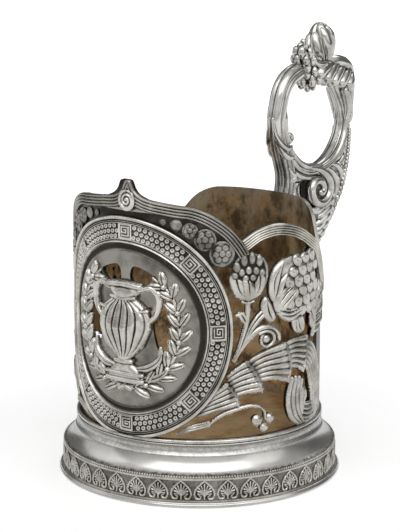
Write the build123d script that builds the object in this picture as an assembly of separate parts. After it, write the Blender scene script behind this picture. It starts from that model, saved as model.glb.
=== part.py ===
from build123d import *
from math import cos, degrees, pi, radians, sin
import os

# Tea glass holder with an openwork wall, a round front medallion and a cast ring handle.
# Millimetres, +Z up. The origin is the centre of the foot's underside, the medallion faces -Y
# and the handle stands at +Y. Places on the wall are unrolled: arc length s from the front,
# positive towards +X, and height h above the wall's lower edge.

# Glass and wall
glass_radius = 32.5
glass_clearance = 0.7
wall_sheet = 1.0
unroll_offset = 1.0
solder_gap = 0.04

# Foot, from the table up
foot_radius = 40.0
base_wire_height = 1.5
base_wire_width = 2.6
base_wire_round = 0.6
gallery_setback = 1.1
gallery_height = 6.5
gallery_sheet = 1.0
bead_wire_setback = 0.1
bead_wire_height = 0.9
bead_wire_width = 1.4
dome_setback = 0.4
dome_height = 4.2
dome_sheet = 1.0
dome_hollow = 0.55
dome_lip = 4.2
floor_thickness = 0.8
floor_rebate = 0.7
collar_reach = 1.0
collar_height = 3.4
collar_round = 0.9
lower_wire_reach = 0.8
lower_wire_height = 1.3

# Heights to which the applied work stands off the wall
bezel_relief = 1.2
frieze_relief = 0.6
plaque_relief = 0.6
field_relief = 0.7
emblem_relief = 1.2
rim_relief = 1.1
boss_relief = 2.0
roundel_relief = 0.8
flower_relief = 1.3
cone_relief = 1.8
berry_relief = 1.2
leaf_relief = 1.0
stem_relief = 0.9

# Medallion, as radii in the unrolled wall
medallion_height = 31.2
bezel_outer = 31.0
bezel_width = 1.7
frieze_width = 5.0
inner_bezel_width = 1.7
plaque_count = 8
plaque_side = 4.4
boss_height = 66.7
boss_radius = 2.7

# Rim of the front and of the two side arches: outer edge, from the middle outwards
finial_tip = 72.2
finial_shift = 1.0
finial_reach = 8.0
front_rim = [(8.0, 67.0), (15.0, 66.1), (20.0, 65.5), (25.0, 63.5), (30.0, 60.0)]
front_cusp = (33.3, 56.3)
arch_rim = [(38.0, 58.9), (44.0, 59.9), (50.0, 58.9), (55.0, 56.9), (60.0, 54.0), (65.0, 50.5)]
seam = (73.7, 37.5)
rim_width = 3.3

# Back panel: a plain lobe between the two seams
lobe_height = 57.8
lobe_run = 24.3
lobe_shoulders = [(0.28, 0.40), (0.49, 0.68), (0.60, 0.83), (0.70, 0.92), (0.83, 0.985)]

# Handle: places are (distance out from the wall, height above the wall's lower edge)
limb_radius = 2.85
inner_limb_path = [(-3.0, 41.0), (7.4, 48.5), (10.6, 60.0), (4.0, 76.5), (7.9, 88.4), (19.0, 91.4)]
inner_limb_bends = [10.0, 12.0, 12.0, 9.0]
outer_limb_radius = 2.3
outer_limb_path = [(35.0, 86.0), (41.6, 76.5), (42.6, 64.0), (37.0, 50.0), (25.0, 37.5), (-3.0, 22.5)]
outer_limb_bends = [16.0, 20.0, 24.0, 26.0]
pad_thickness = 1.2
upper_pad_height = 43.5
lower_pad_height = 24.5
pad_width = 13.0
pad_height = 12.0
web_top = [(6.0, 74.5), (9.0, 70.5), (12.6, 66.0), (17.4, 62.2), (24.9, 60.0), (30.8, 60.2), (35.5, 63.0),
           (39.0, 68.0), (41.5, 75.0)]
web_bottom = [(42.0, 62.0), (38.0, 54.0), (35.0, 50.4), (31.0, 50.2), (25.4, 53.8), (20.0, 56.8), (10.4, 57.5)]
web_thickness = 4.4
volute_place = (25.4, 53.8)
volute_radius = 4.6
volute_thickness = 6.0
shell_outline = [(20.0, 88.3), (24.0, 92.0), (28.9, 93.2), (34.0, 92.2), (38.2, 90.5), (42.0, 87.0), (42.6, 83.5),
                 (40.5, 81.8), (35.0, 82.2), (30.0, 83.3), (25.0, 84.6), (21.5, 86.0)]
shell_thickness = 9.6
thumb_leaf_outline = [(41.0, 86.0), (45.6, 84.0), (45.6, 80.5), (44.4, 77.5), (46.0, 74.4), (45.2, 72.4),
                      (43.4, 72.8), (42.0, 76.0), (41.0, 80.0)]
thumb_leaf_thickness = 5.0
bud_place = (26.9, 91.6)
bud_radius = 5.5
bud_height = 12.2
bud_neck = 2.4
bud_belly = 0.5
bud_shoulder = (0.55, 0.9)
cluster_place = (19.0, 91.4)
cluster_radius = 3.4
grape_radius = 1.8
grape_rows = [(50, 5), (0, 8), (-50, 5)]
spine_count = 11
spine_start = 0.22
spine_end = 0.70
spine_small = 1.3
spine_large = 1.8

# Sizes that follow
collar_bore = glass_radius + glass_clearance
wall_inner = collar_bore
wall_outer = wall_inner + wall_sheet
unroll_radius = wall_outer + unroll_offset
seat_radius = wall_outer + solder_gap
collar_outer = wall_outer + collar_reach
gallery_outer = foot_radius - gallery_setback
bead_wire_outer = gallery_outer - bead_wire_setback
dome_outer = bead_wire_outer - dome_setback
gallery_z = base_wire_height
bead_wire_z = gallery_z + gallery_height
dome_z = bead_wire_z + bead_wire_height
floor_z = dome_z + dome_height
wall_z = floor_z + collar_height
reach = foot_radius + 20.0
tall = finial_tip + 20.0


# Shared shapes
def ring(r_in, r_out, z, height):
    """Flat-sided ring round the axis."""
    tube = Cylinder(r_out, height) - Cylinder(r_in, height)
    return Pos(0, 0, z + height / 2) * tube


def shell(r_in, r_out):
    """Tall tube that cuts applied work to the wall's curve."""
    return ring(r_in, r_out, 0, 3 * tall)


def wall_plane(s):
    """Upright plane through the axis that faces outwards at arc length s."""
    turn = s / unroll_radius
    return Plane((0, 0, wall_z), x_dir=(cos(turn), sin(turn), 0), z_dir=(sin(turn), -cos(turn), 0))


def prism(points, smooth=True):
    """Outline from the unrolled wall, run outwards from the axis through the wall."""
    middle = (min(s for s, h in points) + max(s for s, h in points)) / 2
    flat = [(unroll_radius * sin((s - middle) / unroll_radius), h) for s, h in points]
    face = make_face(Spline(flat, periodic=True) if smooth else Polyline(*flat, close=True))
    plane = wall_plane(middle)
    return extrude(plane * face, amount=reach, dir=plane.z_dir)


def raised(points, relief, smooth=True, base=0.0):
    """Applied plate of a given outline that stands off the wall by its relief."""
    return prism(points, smooth) & shell(seat_radius + base, seat_radius + base + relief)


def disc_loop(s, h, radius, count=24):
    """Circle in the unrolled wall."""
    turns = [2 * pi * i / count for i in range(count)]
    return [(s + radius * sin(t), h + radius * cos(t)) for t in turns]


def band(outer, inner, relief, base=0.0):
    """Round band of the medallion between two radii."""
    hole = prism(disc_loop(0, medallion_height, inner))
    return raised(disc_loop(0, medallion_height, outer), relief, base=base) - hole


def mirrored(shape):
    return mirror(shape, about=Plane.YZ)


parts = {}

# Foot: base wire, palmette strip, bead wire, spun dome, floor, collar and wall wire
base_wire = ring(foot_radius - base_wire_width, foot_radius, 0, base_wire_height)
outer_edges = [e for e in base_wire.edges().filter_by(GeomType.CIRCLE) if e.radius > foot_radius - 0.01]
parts["base_wire"] = fillet(outer_edges, base_wire_round)
parts["palmette_gallery"] = ring(gallery_outer - gallery_sheet, gallery_outer, gallery_z, gallery_height)
parts["bead_wire"] = ring(bead_wire_outer - bead_wire_width, bead_wire_outer, bead_wire_z, bead_wire_height)


def foot_dome():
    """Spun cove from the bead wire up to a flat lip that carries the floor."""
    low = dome_outer
    high = collar_outer
    outer = SagittaArc((low, dome_z), (high, floor_z), dome_hollow)
    lip_in = high - dome_lip
    under = floor_z - dome_sheet
    inner = SagittaArc((high - dome_sheet, under), (low - dome_sheet, dome_z), -dome_hollow)
    top = Polyline((high, floor_z), (lip_in, floor_z), (lip_in, under), (high - dome_sheet, under))
    foot = Line((low - dome_sheet, dome_z), (low, dome_z))
    return revolve(Plane.XZ * make_face([outer, top, inner, foot]), Axis.Z)


parts["foot_dome"] = foot_dome()
floor_radius = collar_bore - solder_gap
parts["floor_disc"] = Pos(0, 0, floor_z + floor_thickness / 2) * Cylinder(floor_radius, floor_thickness)
collar = ring(collar_bore + floor_rebate, collar_outer, floor_z, floor_thickness)
collar += ring(collar_bore, collar_outer, floor_z + floor_thickness, collar_height - floor_thickness)
collar_edges = [e for e in collar.edges().filter_by(GeomType.CIRCLE) if e.radius > collar_outer - 0.01]
parts["foot_collar"] = fillet(collar_edges, collar_round)
parts["lower_wall_wire"] = ring(seat_radius, wall_outer + lower_wire_reach, wall_z, lower_wire_height)

# Openings of the right-hand side, between the flowers and leaves
side_windows = [
    [(36.2, 54.3), (40.0, 56.2), (45.0, 56.4), (51.0, 54.8), (56.0, 52.4), (60.4, 49.6), (57.0, 50.6),
     (52.0, 51.0), (47.6, 50.4), (44.6, 49.4), (42.2, 46.0), (41.8, 43.0), (42.0, 47.0), (40.8, 51.0),
     (38.6, 53.0)],
    [(31.3, 40.4), (33.4, 39.2), (33.7, 37.4), (32.4, 36.4), (31.9, 34.2), (32.9, 33.2), (33.0, 30.0),
     (31.9, 27.0), (31.3, 30.0)],
    [(36.0, 38.0), (38.2, 38.8), (39.4, 37.6), (38.6, 36.0), (36.2, 33.0), (35.3, 31.8)],
    [(33.8, 24.0), (36.4, 27.2), (38.4, 28.9), (39.2, 27.8), (40.0, 26.0), (38.0, 25.2)],
    [(46.6, 28.4), (50.2, 28.2), (49.8, 30.4), (47.6, 31.6), (45.8, 31.0)],
    [(56.4, 27.8), (58.2, 27.4), (58.2, 33.6), (56.8, 33.6)],
    [(25.6, 4.4), (29.0, 6.8), (34.0, 8.6), (36.6, 8.6), (35.6, 6.4), (37.0, 4.0), (37.6, 2.4), (24.0, 2.4)],
    [(33.6, 11.4), (36.0, 12.8), (39.6, 13.4), (41.0, 15.4), (44.0, 15.6), (47.8, 14.4), (48.0, 9.0),
     (49.4, 5.0), (51.4, 2.6), (43.6, 2.4), (43.6, 3.8), (45.2, 5.6), (43.6, 8.2), (41.6, 9.4), (38.4, 11.4)],
    [(51.6, 17.4), (54.4, 16.2), (57.0, 14.2), (58.8, 11.4), (57.4, 12.0), (55.6, 14.4), (53.0, 16.0)],
    [(62.6, 36.4), (65.2, 34.2), (66.2, 38.0), (65.8, 42.0), (63.6, 44.2), (63.2, 40.4)],
]

# Openings of the medallion's field, from the medallion's middle, left and right alike
field_windows = [
    [(-16.5, 4.0), (-12.0, 9.5), (-8.5, 3.0), (-10.5, -6.0), (-15.0, -5.5)],
    [(-4.5, 11.5), (-9.0, 15.0), (-3.0, 17.5), (-1.5, 14.0)],
    [(-5.5, -9.5), (-12.5, -9.5), (-9.5, -14.0), (-5.0, -14.5)],
]


def on_field(points, flip=1):
    """Outline of the emblem, from the medallion's middle."""
    return [(flip * s, medallion_height + h) for s, h in points]


# Wall: one pierced sheet round the front and sides, closed by a plain lobed panel at the back
def above(lines, middle):
    """Everything above a rim edge, given as smooth lines end to end, run outwards through the wall."""
    flat = [[(unroll_radius * sin((s - middle) / unroll_radius), h) for s, h in line] for line in lines]
    first = flat[0][0]
    last = flat[-1][-1]
    lid = Polyline(last, (last[0], tall), (first[0], tall), first)
    plane = wall_plane(middle)
    face = make_face([*(Spline(*line) for line in flat), lid])
    return extrude(plane * face, amount=reach, dir=plane.z_dir)


def sheet_sector(from_s, to_s):
    """Stretch of the cylindrical wall between two arc lengths."""
    section = Pos(wall_inner + wall_sheet / 2, wall_z + tall / 2) * Rectangle(wall_sheet, tall)
    start = from_s / unroll_radius - pi / 2
    sweep_angle = degrees((to_s - from_s) / unroll_radius)
    return Rot(0, 0, degrees(start)) * revolve(Plane.XZ * section, Axis.Z, sweep_angle)


finial_slope = [(2.5, 2.3), (5.0, 4.2)]


def finial_line(side):
    """Edge of the pointed finial from its tip down one side."""
    slope = [(finial_shift + side * s, finial_tip - fall) for s, fall in finial_slope]
    return [(finial_shift, finial_tip), *slope]


def front_line(side):
    """Front rim edge from the finial's tip to one cusp."""
    return finial_line(side) + [(side * s, h) for s, h in front_rim + [front_cusp]]


arch_line = [front_cusp] + arch_rim + [seam]
half_round = pi * unroll_radius
lobe_half = half_round - seam[0]
lobe_line = [(lobe_half, seam[1])]
lobe_line += [(lobe_half - lobe_run * run, seam[1] + (lobe_height - seam[1]) * rise)
              for run, rise in lobe_shoulders]
lobe_line += [(lobe_half - lobe_run, lobe_height)]
full_lobe = [(half_round - s, h) for s, h in lobe_line]
full_lobe += [(half_round + s, h) for s, h in reversed(lobe_line)]

arch_middle = (front_cusp[0] + seam[0]) / 2
right_cuts = [above([arch_line], arch_middle)]
right_cuts += [prism(outline, smooth=False) for outline in side_windows]
left_cuts = [mirrored(cut) for cut in right_cuts]
field_cuts = [prism(on_field(outline, flip), smooth=False) for outline in field_windows for flip in (1, -1)]
rim_cut = above([front_line(-1)[::-1], front_line(1)], 0)
wall = sheet_sector(-seam[0], seam[0]) - [rim_cut, *field_cuts, *right_cuts, *left_cuts]
parts["openwork_wall"] = wall
panel = sheet_sector(seam[0], 2 * half_round - seam[0])
parts["back_panel"] = panel - above([full_lobe], half_round)

# Medallion: two bezels, frieze with key plaques, pierced field and its emblem
frieze_outer = bezel_outer - bezel_width - solder_gap
inner_bezel_outer = frieze_outer - frieze_width - solder_gap
field_outer = inner_bezel_outer - inner_bezel_width - solder_gap
wire_slot = ring(wall_inner, reach, wall_z - 1, lower_wire_height + 1 + solder_gap)
parts["medallion_bezel"] = band(bezel_outer, bezel_outer - bezel_width, bezel_relief) - wire_slot
parts["medallion_frieze"] = band(frieze_outer, frieze_outer - frieze_width, frieze_relief)
parts["medallion_inner_bezel"] = band(inner_bezel_outer, inner_bezel_outer - inner_bezel_width, bezel_relief)


def key_plaque(index):
    """Square plaque of the frieze, turned to face the medallion's middle."""
    turn = 2 * pi * index / plaque_count
    middle = frieze_outer - frieze_width / 2
    half = plaque_side / 2
    corners = [(-half, -half), (half, -half), (half, half), (-half, half)]
    points = [((middle + v) * sin(turn) + u * cos(turn), medallion_height + (middle + v) * cos(turn) - u * sin(turn))
              for u, v in corners]
    return raised(points, plaque_relief, smooth=False, base=frieze_relief + solder_gap)


parts["key_plaques"] = Compound([key_plaque(i) for i in range(plaque_count)])

vase_half = [(0.0, 11.0), (4.0, 11.4), (4.6, 9.6), (3.0, 7.6), (6.4, 5.0), (7.0, 0.5), (5.0, -4.0), (2.0, -7.0),
             (2.2, -9.0), (5.2, -11.4), (5.2, -13.6), (0.0, -13.6)]
spray_outline = [(1.0, -17.4), (8.0, -16.0), (14.0, -11.6), (18.0, -4.0), (18.4, 4.0), (15.6, 11.0), (10.0, 15.6),
                 (7.6, 14.4), (11.6, 10.6), (13.6, 4.6), (13.6, -3.4), (11.0, -9.4), (6.8, -13.8), (1.0, -15.4)]


field = raised(disc_loop(0, medallion_height, field_outer), field_relief)
parts["medallion_field"] = field - field_cuts
emblem_base = field_relief + solder_gap
vase_left = [(-s, h) for s, h in reversed(vase_half[1:-1])]
vase = raised(on_field(vase_half + vase_left), emblem_relief, smooth=False, base=emblem_base)
parts["emblem_vase"] = vase
sprays = [raised(on_field(spray_outline, flip), emblem_relief, base=emblem_base) for flip in (1, -1)]
parts["emblem_sprays"] = Compound(sprays)


# Rim: reeded mouldings, pointed finial with its scroll boss, and the two side arches
def moulding(points):
    """Band along a rim edge, as wide as the rim."""
    lower = [(s, h - rim_width) for s, h in points]
    middle = (points[0][0] + points[-1][0]) / 2
    place = [(unroll_radius * sin((s - middle) / unroll_radius), h) for s, h in points]
    under = [(unroll_radius * sin((s - middle) / unroll_radius), h) for s, h in lower]
    ends = [Line(place[-1], under[-1]), Line(under[0], place[0])]
    face = make_face([Spline(*place), ends[0], Spline(*under), ends[1]])
    plane = wall_plane(middle)
    run = extrude(plane * face, amount=reach, dir=plane.z_dir)
    return run & shell(seat_radius, seat_radius + rim_relief)


front_moulding = moulding(front_rim + [front_cusp])
arch_moulding = moulding(arch_line) - [front_moulding]
parts["rim_moulding_right"] = front_moulding
parts["rim_moulding_left"] = mirrored(front_moulding)
parts["rim_arch_right"] = arch_moulding
parts["rim_arch_left"] = mirrored(arch_moulding)
finial_right = finial_line(1) + [(finial_reach, front_rim[0][1]), (finial_reach, front_rim[0][1] - rim_width)]
finial_left = finial_line(-1)[1:] + [(-finial_reach, h) for s, h in finial_right[-2:]]
finial = raised(finial_right + finial_left[::-1], rim_relief, smooth=False)
parts["rim_finial"] = finial - [front_moulding, parts["rim_moulding_left"]]
boss_outline = disc_loop(finial_shift, boss_height, boss_radius)
parts["finial_boss"] = raised(boss_outline, boss_relief - rim_relief - solder_gap, base=rim_relief + solder_gap)

# Berry roundels of the spandrels, from the finial down to the cusp: arc length, height, radius
roundels = [(11.5, 61.5, 0.7), (15.3, 60.8, 1.3), (19.0, 59.5, 1.8), (23.0, 57.0, 2.6), (27.6, 53.0, 3.1)]


def stud(s, h, radius, relief):
    """Small round applied piece."""
    plane = wall_plane(s)
    post = extrude(plane * Pos(0, h) * Circle(radius), amount=reach, dir=plane.z_dir)
    return post & shell(seat_radius, seat_radius + relief)


# Side flowers and leaves of the right-hand side, as outlines on the unrolled wall
tulip_cup = [(30.3, 47.0), (29.9, 44.5), (31.3, 41.5), (33.3, 39.8), (35.2, 39.5), (37.1, 39.8), (39.3, 41.5),
             (40.7, 44.5), (40.5, 47.2), (38.8, 46.6), (35.2, 45.6), (32.0, 46.4)]
tulip_crown = [(30.7, 46.0), (31.3, 50.4), (33.4, 52.3), (36.0, 52.5), (38.6, 51.5), (40.3, 49.3), (40.2, 46.0),
               (35.2, 44.0)]
tulip_stem = [(34.3, 39.8), (36.0, 39.8), (35.7, 35.4), (34.7, 30.4), (33.0, 25.6), (31.9, 23.0), (31.2, 23.4),
              (32.4, 27.0), (33.6, 31.6), (32.0, 33.6), (31.4, 36.0), (32.8, 36.9), (34.2, 36.2)]
cone_flower = [(43.2, 45.5), (42.6, 41.5), (43.2, 38.0), (45.5, 34.6), (48.5, 33.0), (52.0, 33.4), (56.0, 34.4),
               (59.5, 36.3), (62.0, 39.5), (63.0, 43.0), (62.0, 46.5), (59.5, 48.7), (56.0, 49.9), (52.0, 50.4),
               (48.5, 49.8), (45.5, 49.0)]
cone_stem = [(40.4, 39.4), (40.0, 36.8), (37.0, 33.6), (35.0, 30.2), (33.2, 26.0), (32.1, 23.4), (33.0, 23.2),
             (35.0, 26.8), (36.8, 30.2), (39.6, 32.8), (41.8, 33.8), (43.0, 34.8), (42.0, 37.0)]
scroll_leaf = [(32.4, 22.9), (34.6, 26.4), (37.0, 29.5), (39.6, 31.4), (42.4, 31.6), (44.9, 30.4), (45.7, 28.0),
               (44.4, 26.2), (41.6, 25.8), (39.7, 26.8), (39.4, 28.8), (41.0, 30.0), (42.6, 29.2), (42.0, 27.8),
               (40.9, 28.1), (40.9, 27.2), (43.0, 27.2), (43.8, 28.6), (42.4, 30.4), (40.2, 30.6), (38.0, 29.4),
               (35.6, 26.8), (33.4, 22.9)]
fan_leaf = [(15.0, 2.2), (20.0, 4.0), (24.5, 5.0), (28.0, 8.1), (32.3, 10.5), (34.5, 12.5), (39.3, 14.0),
            (43.0, 16.3), (48.5, 15.5), (52.0, 17.7), (55.4, 16.7), (57.6, 14.5), (59.8, 9.6), (62.5, 9.0),
            (66.3, 13.5), (66.2, 19.5), (63.5, 23.5), (60.0, 26.1), (56.0, 27.1), (50.0, 27.1), (45.0, 25.9),
            (38.0, 24.4), (34.5, 22.8), (31.0, 20.5), (28.0, 17.5), (24.0, 12.0), (19.0, 6.5)]
curl_leaf = [(51.0, 15.8), (49.0, 13.0), (48.6, 9.5), (49.6, 5.5), (52.0, 2.7), (55.0, 1.6), (60.0, 1.7),
             (64.0, 3.0), (66.0, 5.5), (66.8, 10.0), (63.5, 7.5), (60.4, 8.8), (57.8, 11.2), (56.4, 13.6),
             (54.0, 15.4)]
sprig_stem = [(24.8, 5.8), (28.0, 8.2), (32.5, 9.9), (37.0, 10.5), (40.0, 9.3), (41.2, 7.8), (40.2, 7.6),
              (38.8, 8.8), (36.4, 9.5), (33.0, 9.0), (28.5, 7.2), (25.2, 5.0)]
sprig_berries = [(38.2, 5.7, 1.9), (42.5, 5.6, 1.5), (40.4, 3.0, 1.2)]
side_leaf = [(59.2, 27.6), (59.4, 31.5), (61.4, 33.5), (60.0, 36.0), (61.0, 39.0), (64.0, 40.5), (67.0, 38.5),
             (66.5, 35.0), (68.0, 32.0), (67.5, 28.5), (65.0, 26.0), (62.0, 25.7)]

medallion_room = prism(disc_loop(0, medallion_height, bezel_outer + solder_gap))
taken = [medallion_room, wire_slot]
right_side = {}


def add_side(name, shape, clears=()):
    """Side piece, cut clear of the medallion, the wall wire and the pieces that it meets."""
    right_side[name] = shape - [*taken, *(right_side[other] for other in clears)]


add_side("tulip_cup", raised(tulip_cup, flower_relief))
add_side("tulip_crown", raised(tulip_crown, berry_relief), ["tulip_cup"])
add_side("tulip_stem", raised(tulip_stem, stem_relief, smooth=False), ["tulip_cup"])
add_side("cone_flower", raised(cone_flower, cone_relief))
add_side("cone_stem", raised(cone_stem, stem_relief, smooth=False), ["cone_flower", "tulip_cup", "tulip_stem"])
add_side("scroll_leaf", raised(scroll_leaf, stem_relief, smooth=False), ["cone_stem", "tulip_stem"])
add_side("fan_leaf", raised(fan_leaf, leaf_relief, smooth=False), ["scroll_leaf", "cone_stem", "tulip_stem"])
add_side("curl_leaf", raised(curl_leaf, leaf_relief, smooth=False), ["fan_leaf"])
add_side("sprig_stem", raised(sprig_stem, stem_relief, smooth=False), ["fan_leaf"])
berries = Compound([stud(s, h, radius, berry_relief) for s, h, radius in sprig_berries])
add_side("sprig_berries", berries, ["sprig_stem"])
add_side("side_leaf", raised(side_leaf, leaf_relief, smooth=False), ["cone_flower", "fan_leaf"])
for name, shape in right_side.items():
    parts[name + "_right"] = shape
    parts[name + "_left"] = mirrored(shape)
studs = [stud(s, h, radius, roundel_relief) for s, h, radius in roundels]
parts["spandrel_roundels_right"] = Compound(studs)
parts["spandrel_roundels_left"] = Compound([mirrored(piece) for piece in studs])


# Handle: cast limbs round the finger loop, web with volute, thumb shell, bud and berries
def handle_point(out, h):
    """Place in the upright plane of the handle, as distance from the axis and height."""
    return (wall_outer + out, wall_z + h)


def handle_limb(path, bends, radius):
    """Round limb along straight runs and tangent bends."""
    line = Plane.YZ * FilletPolyline(*[handle_point(*place) for place in path], radius=bends)
    return sweep((line ^ 0) * Circle(radius), line), line


def handle_plate(edges, thickness):
    """Flat cast piece with a given edge, centred on the handle's plane."""
    return extrude(Plane.YZ * make_face(edges), amount=thickness / 2, dir=(1, 0, 0), both=True)


pad_outer = wall_outer + pad_thickness + solder_gap


def wall_pad(h):
    """Curved plate that fastens a limb to the back panel."""
    middle = half_round
    half = pad_width / 2
    corners = [(middle - half, h), (middle, h - pad_height / 2), (middle + half, h), (middle, h + pad_height / 2)]
    return raised(corners, pad_thickness)


parts["upper_handle_pad"] = wall_pad(upper_pad_height)
parts["lower_handle_pad"] = wall_pad(lower_pad_height)
cup_room = Pos(0, 0, wall_z + tall / 2) * Cylinder(pad_outer, 2 * tall)
inner_limb, inner_line = handle_limb(inner_limb_path, inner_limb_bends, limb_radius)
outer_limb, outer_line = handle_limb(outer_limb_path, outer_limb_bends, outer_limb_radius)
inner_limb -= cup_room
outer_limb -= cup_room
parts["handle_inner_limb"] = inner_limb
parts["handle_outer_limb"] = outer_limb
top_points = [handle_point(*place) for place in web_top]
bottom_points = [handle_point(*place) for place in web_bottom]
web_edges = [Spline(*top_points), Polyline(top_points[-1], *bottom_points, top_points[0])]
volute_edge = Pos(*handle_point(*volute_place)) * CenterArc((0, 0), volute_radius, 0, 360)
volute = handle_plate(volute_edge, volute_thickness) - outer_limb
parts["handle_volute"] = volute
web = handle_plate(web_edges, web_thickness) - [inner_limb, outer_limb, volute]
parts["handle_web"] = web
shell_edge = Spline([handle_point(*place) for place in shell_outline], periodic=True)
thumb_shell = handle_plate(shell_edge, shell_thickness) - [inner_limb, outer_limb]
parts["thumb_shell"] = thumb_shell
thumb_leaf_edge = Spline([handle_point(*place) for place in thumb_leaf_outline], periodic=True)
thumb_leaf = handle_plate(thumb_leaf_edge, thumb_leaf_thickness) - [outer_limb, thumb_shell]
parts["thumb_leaf"] = thumb_leaf


def bud():
    """Pear-shaped finial bud, turned about its own upright axis."""
    out, foot_z = handle_point(*bud_place)
    belly = (bud_radius, bud_height * bud_belly)
    shoulder = (bud_radius * bud_shoulder[0], bud_height * bud_shoulder[1])
    side = Spline((bud_neck, 0), belly, shoulder, (0, bud_height))
    half = make_face([side, Polyline((0, bud_height), (0, 0), (bud_neck, 0))])
    return Pos(0, out, foot_z) * revolve(Plane.XZ * half, Axis.Z)


parts["bud_finial"] = bud() - [thumb_shell]


def grape_cluster():
    """Berries packed round a core, between the inner limb and the bud."""
    out, z = handle_point(*cluster_place)
    cluster = Pos(0, out, z) * Sphere(cluster_radius)
    for row, (tilt, count) in enumerate(grape_rows):
        for i in range(count):
            turn = radians(360 * (i + 0.5 * (row % 2)) / count)
            level = radians(tilt)
            place = (cos(level) * cos(turn), cos(level) * sin(turn), sin(level))
            cluster += Pos(*(p * cluster_radius + q for p, q in zip(place, (0, out, z)))) * Sphere(grape_radius)
    return cluster


parts["grape_cluster"] = grape_cluster() - [inner_limb, thumb_shell, parts["bud_finial"]]


def spine_bead(index):
    """Bead on the outer edge of the outer limb."""
    along = index / (spine_count - 1)
    t = spine_start + (spine_end - spine_start) * along
    place = outer_line @ t
    heading = outer_line % t
    radius = spine_small + (spine_large - spine_small) * along
    outward = Vector(0, -heading.Z, heading.Y)
    return Pos(*(place + outward * outer_limb_radius)) * Sphere(radius)


beads = [spine_bead(i) - [outer_limb, volute, web, thumb_leaf] for i in range(spine_count)]
parts["bead_spine"] = Compound(beads)

os.makedirs("parts", exist_ok=True)
for name, shape in parts.items():
    export_step(shape, f"parts/{name}.step")
    print(name, len(shape.solids()), round(shape.volume, 1))
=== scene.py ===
import math

import bpy
import numpy as np
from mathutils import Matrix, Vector


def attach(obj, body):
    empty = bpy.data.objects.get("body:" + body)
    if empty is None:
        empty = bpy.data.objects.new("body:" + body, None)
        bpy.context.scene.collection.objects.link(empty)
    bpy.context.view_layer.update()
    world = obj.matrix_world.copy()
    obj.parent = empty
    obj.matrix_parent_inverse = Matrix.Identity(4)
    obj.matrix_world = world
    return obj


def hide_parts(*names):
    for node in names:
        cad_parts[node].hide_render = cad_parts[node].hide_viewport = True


# Tea glass holder in oxidised silver: spun foot, openwork wall with a front medallion, cast ring handle.
# Work is drawn in millimetres on flat sheets, then wrapped on the wall or doubled for the handle.
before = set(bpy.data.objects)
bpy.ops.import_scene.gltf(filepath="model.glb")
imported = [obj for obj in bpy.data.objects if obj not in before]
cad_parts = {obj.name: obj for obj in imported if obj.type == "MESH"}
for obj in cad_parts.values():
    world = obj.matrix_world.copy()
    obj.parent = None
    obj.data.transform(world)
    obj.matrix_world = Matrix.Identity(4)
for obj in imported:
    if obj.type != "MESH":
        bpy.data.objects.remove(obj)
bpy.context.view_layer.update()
MM = 0.001

# Wall: places on it are arc length s from the front and height z above the table
wall_inner = 33.2
wall_outer = 34.2
seat = 34.24
unroll = 35.2
wall_foot = 16.5
half_round = math.pi * unroll
medallion_z = 47.7

# Frames of the wall and limits of the work on it
wire_height = 1.3
work_foot = wall_foot + 1.25
lower_frame = 1.2
rear_frame = 66.4
spandrel_low = 65.5
work_reach = 30.9
backing_reach = 30.6
field_reach = 22.45

# Foot: radii, heights and numbers of repeats
gallery_radius = 38.9
strip_radius = 38.5
palmette_count = 38
palmette_phase = 0.916
grain_seat = 38.45
grain_z = 8.45
grain_count = 320

# Rim edges from the finial outwards
finial_tip = (1.0, 88.7)
front_edge = [(8.0, 83.5), (15.0, 82.6), (20.0, 82.0), (25.0, 80.0), (30.0, 76.5), (33.3, 72.8)]
arch_edge = [(33.3, 72.8), (38.0, 75.4), (44.0, 76.4), (50.0, 75.4), (55.0, 73.4), (60.0, 70.5),
             (65.0, 67.0), (73.7, 54.0)]
lobe_edge = [(73.7, 54.0), (79.3, 62.1), (84.4, 67.8), (87.2, 70.9), (89.8, 72.7), (93.4, 74.0),
             (98.0, 74.3)]
rim_width = 3.3
rim_reeds = 5
front_reeds = 4
both_hands = ((False, "right"), (True, "left"))

# Sheets: lattice, height of a place with no work, distance past all work, and reach of the oxide round work
lattice = 0.15
EMPTY = -9.0
FAR = 9.0
near_reach = 0.35
wide_reach = 1.1


# Flat sheets: heights and outlines
def smooth_line(points, closed=False, step=0.4):
    """Closely spaced points along a smooth line through the given ones."""
    given = np.array(points, float)
    if closed:
        ends = np.vstack([given[-1:], given, given[:2]])
    else:
        ends = np.vstack([2 * given[:1] - given[1:2], given, 2 * given[-1:] - given[-2:-1]])
    runs = []
    for a, b, c, d in zip(ends[:-3], ends[1:-2], ends[2:-1], ends[3:]):
        count = max(2, int(np.linalg.norm(c - b) / step) + 1)
        t = np.linspace(0, 1, count, endpoint=False)[:, None]
        bend = (2 * a - 5 * b + 4 * c - d) * t ** 2 + (3 * b - a - 3 * c + d) * t ** 3
        runs.append(0.5 * (2 * b + (c - a) * t + bend))
    if not closed:
        runs.append(given[-1:])
    return np.vstack(runs)


def stretch(value, along):
    """One value, or several spread evenly from start to end, at places along a line."""
    values = np.atleast_1d(np.array(value, float))
    return np.interp(along, np.linspace(0, 1, len(values)), values)


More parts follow.
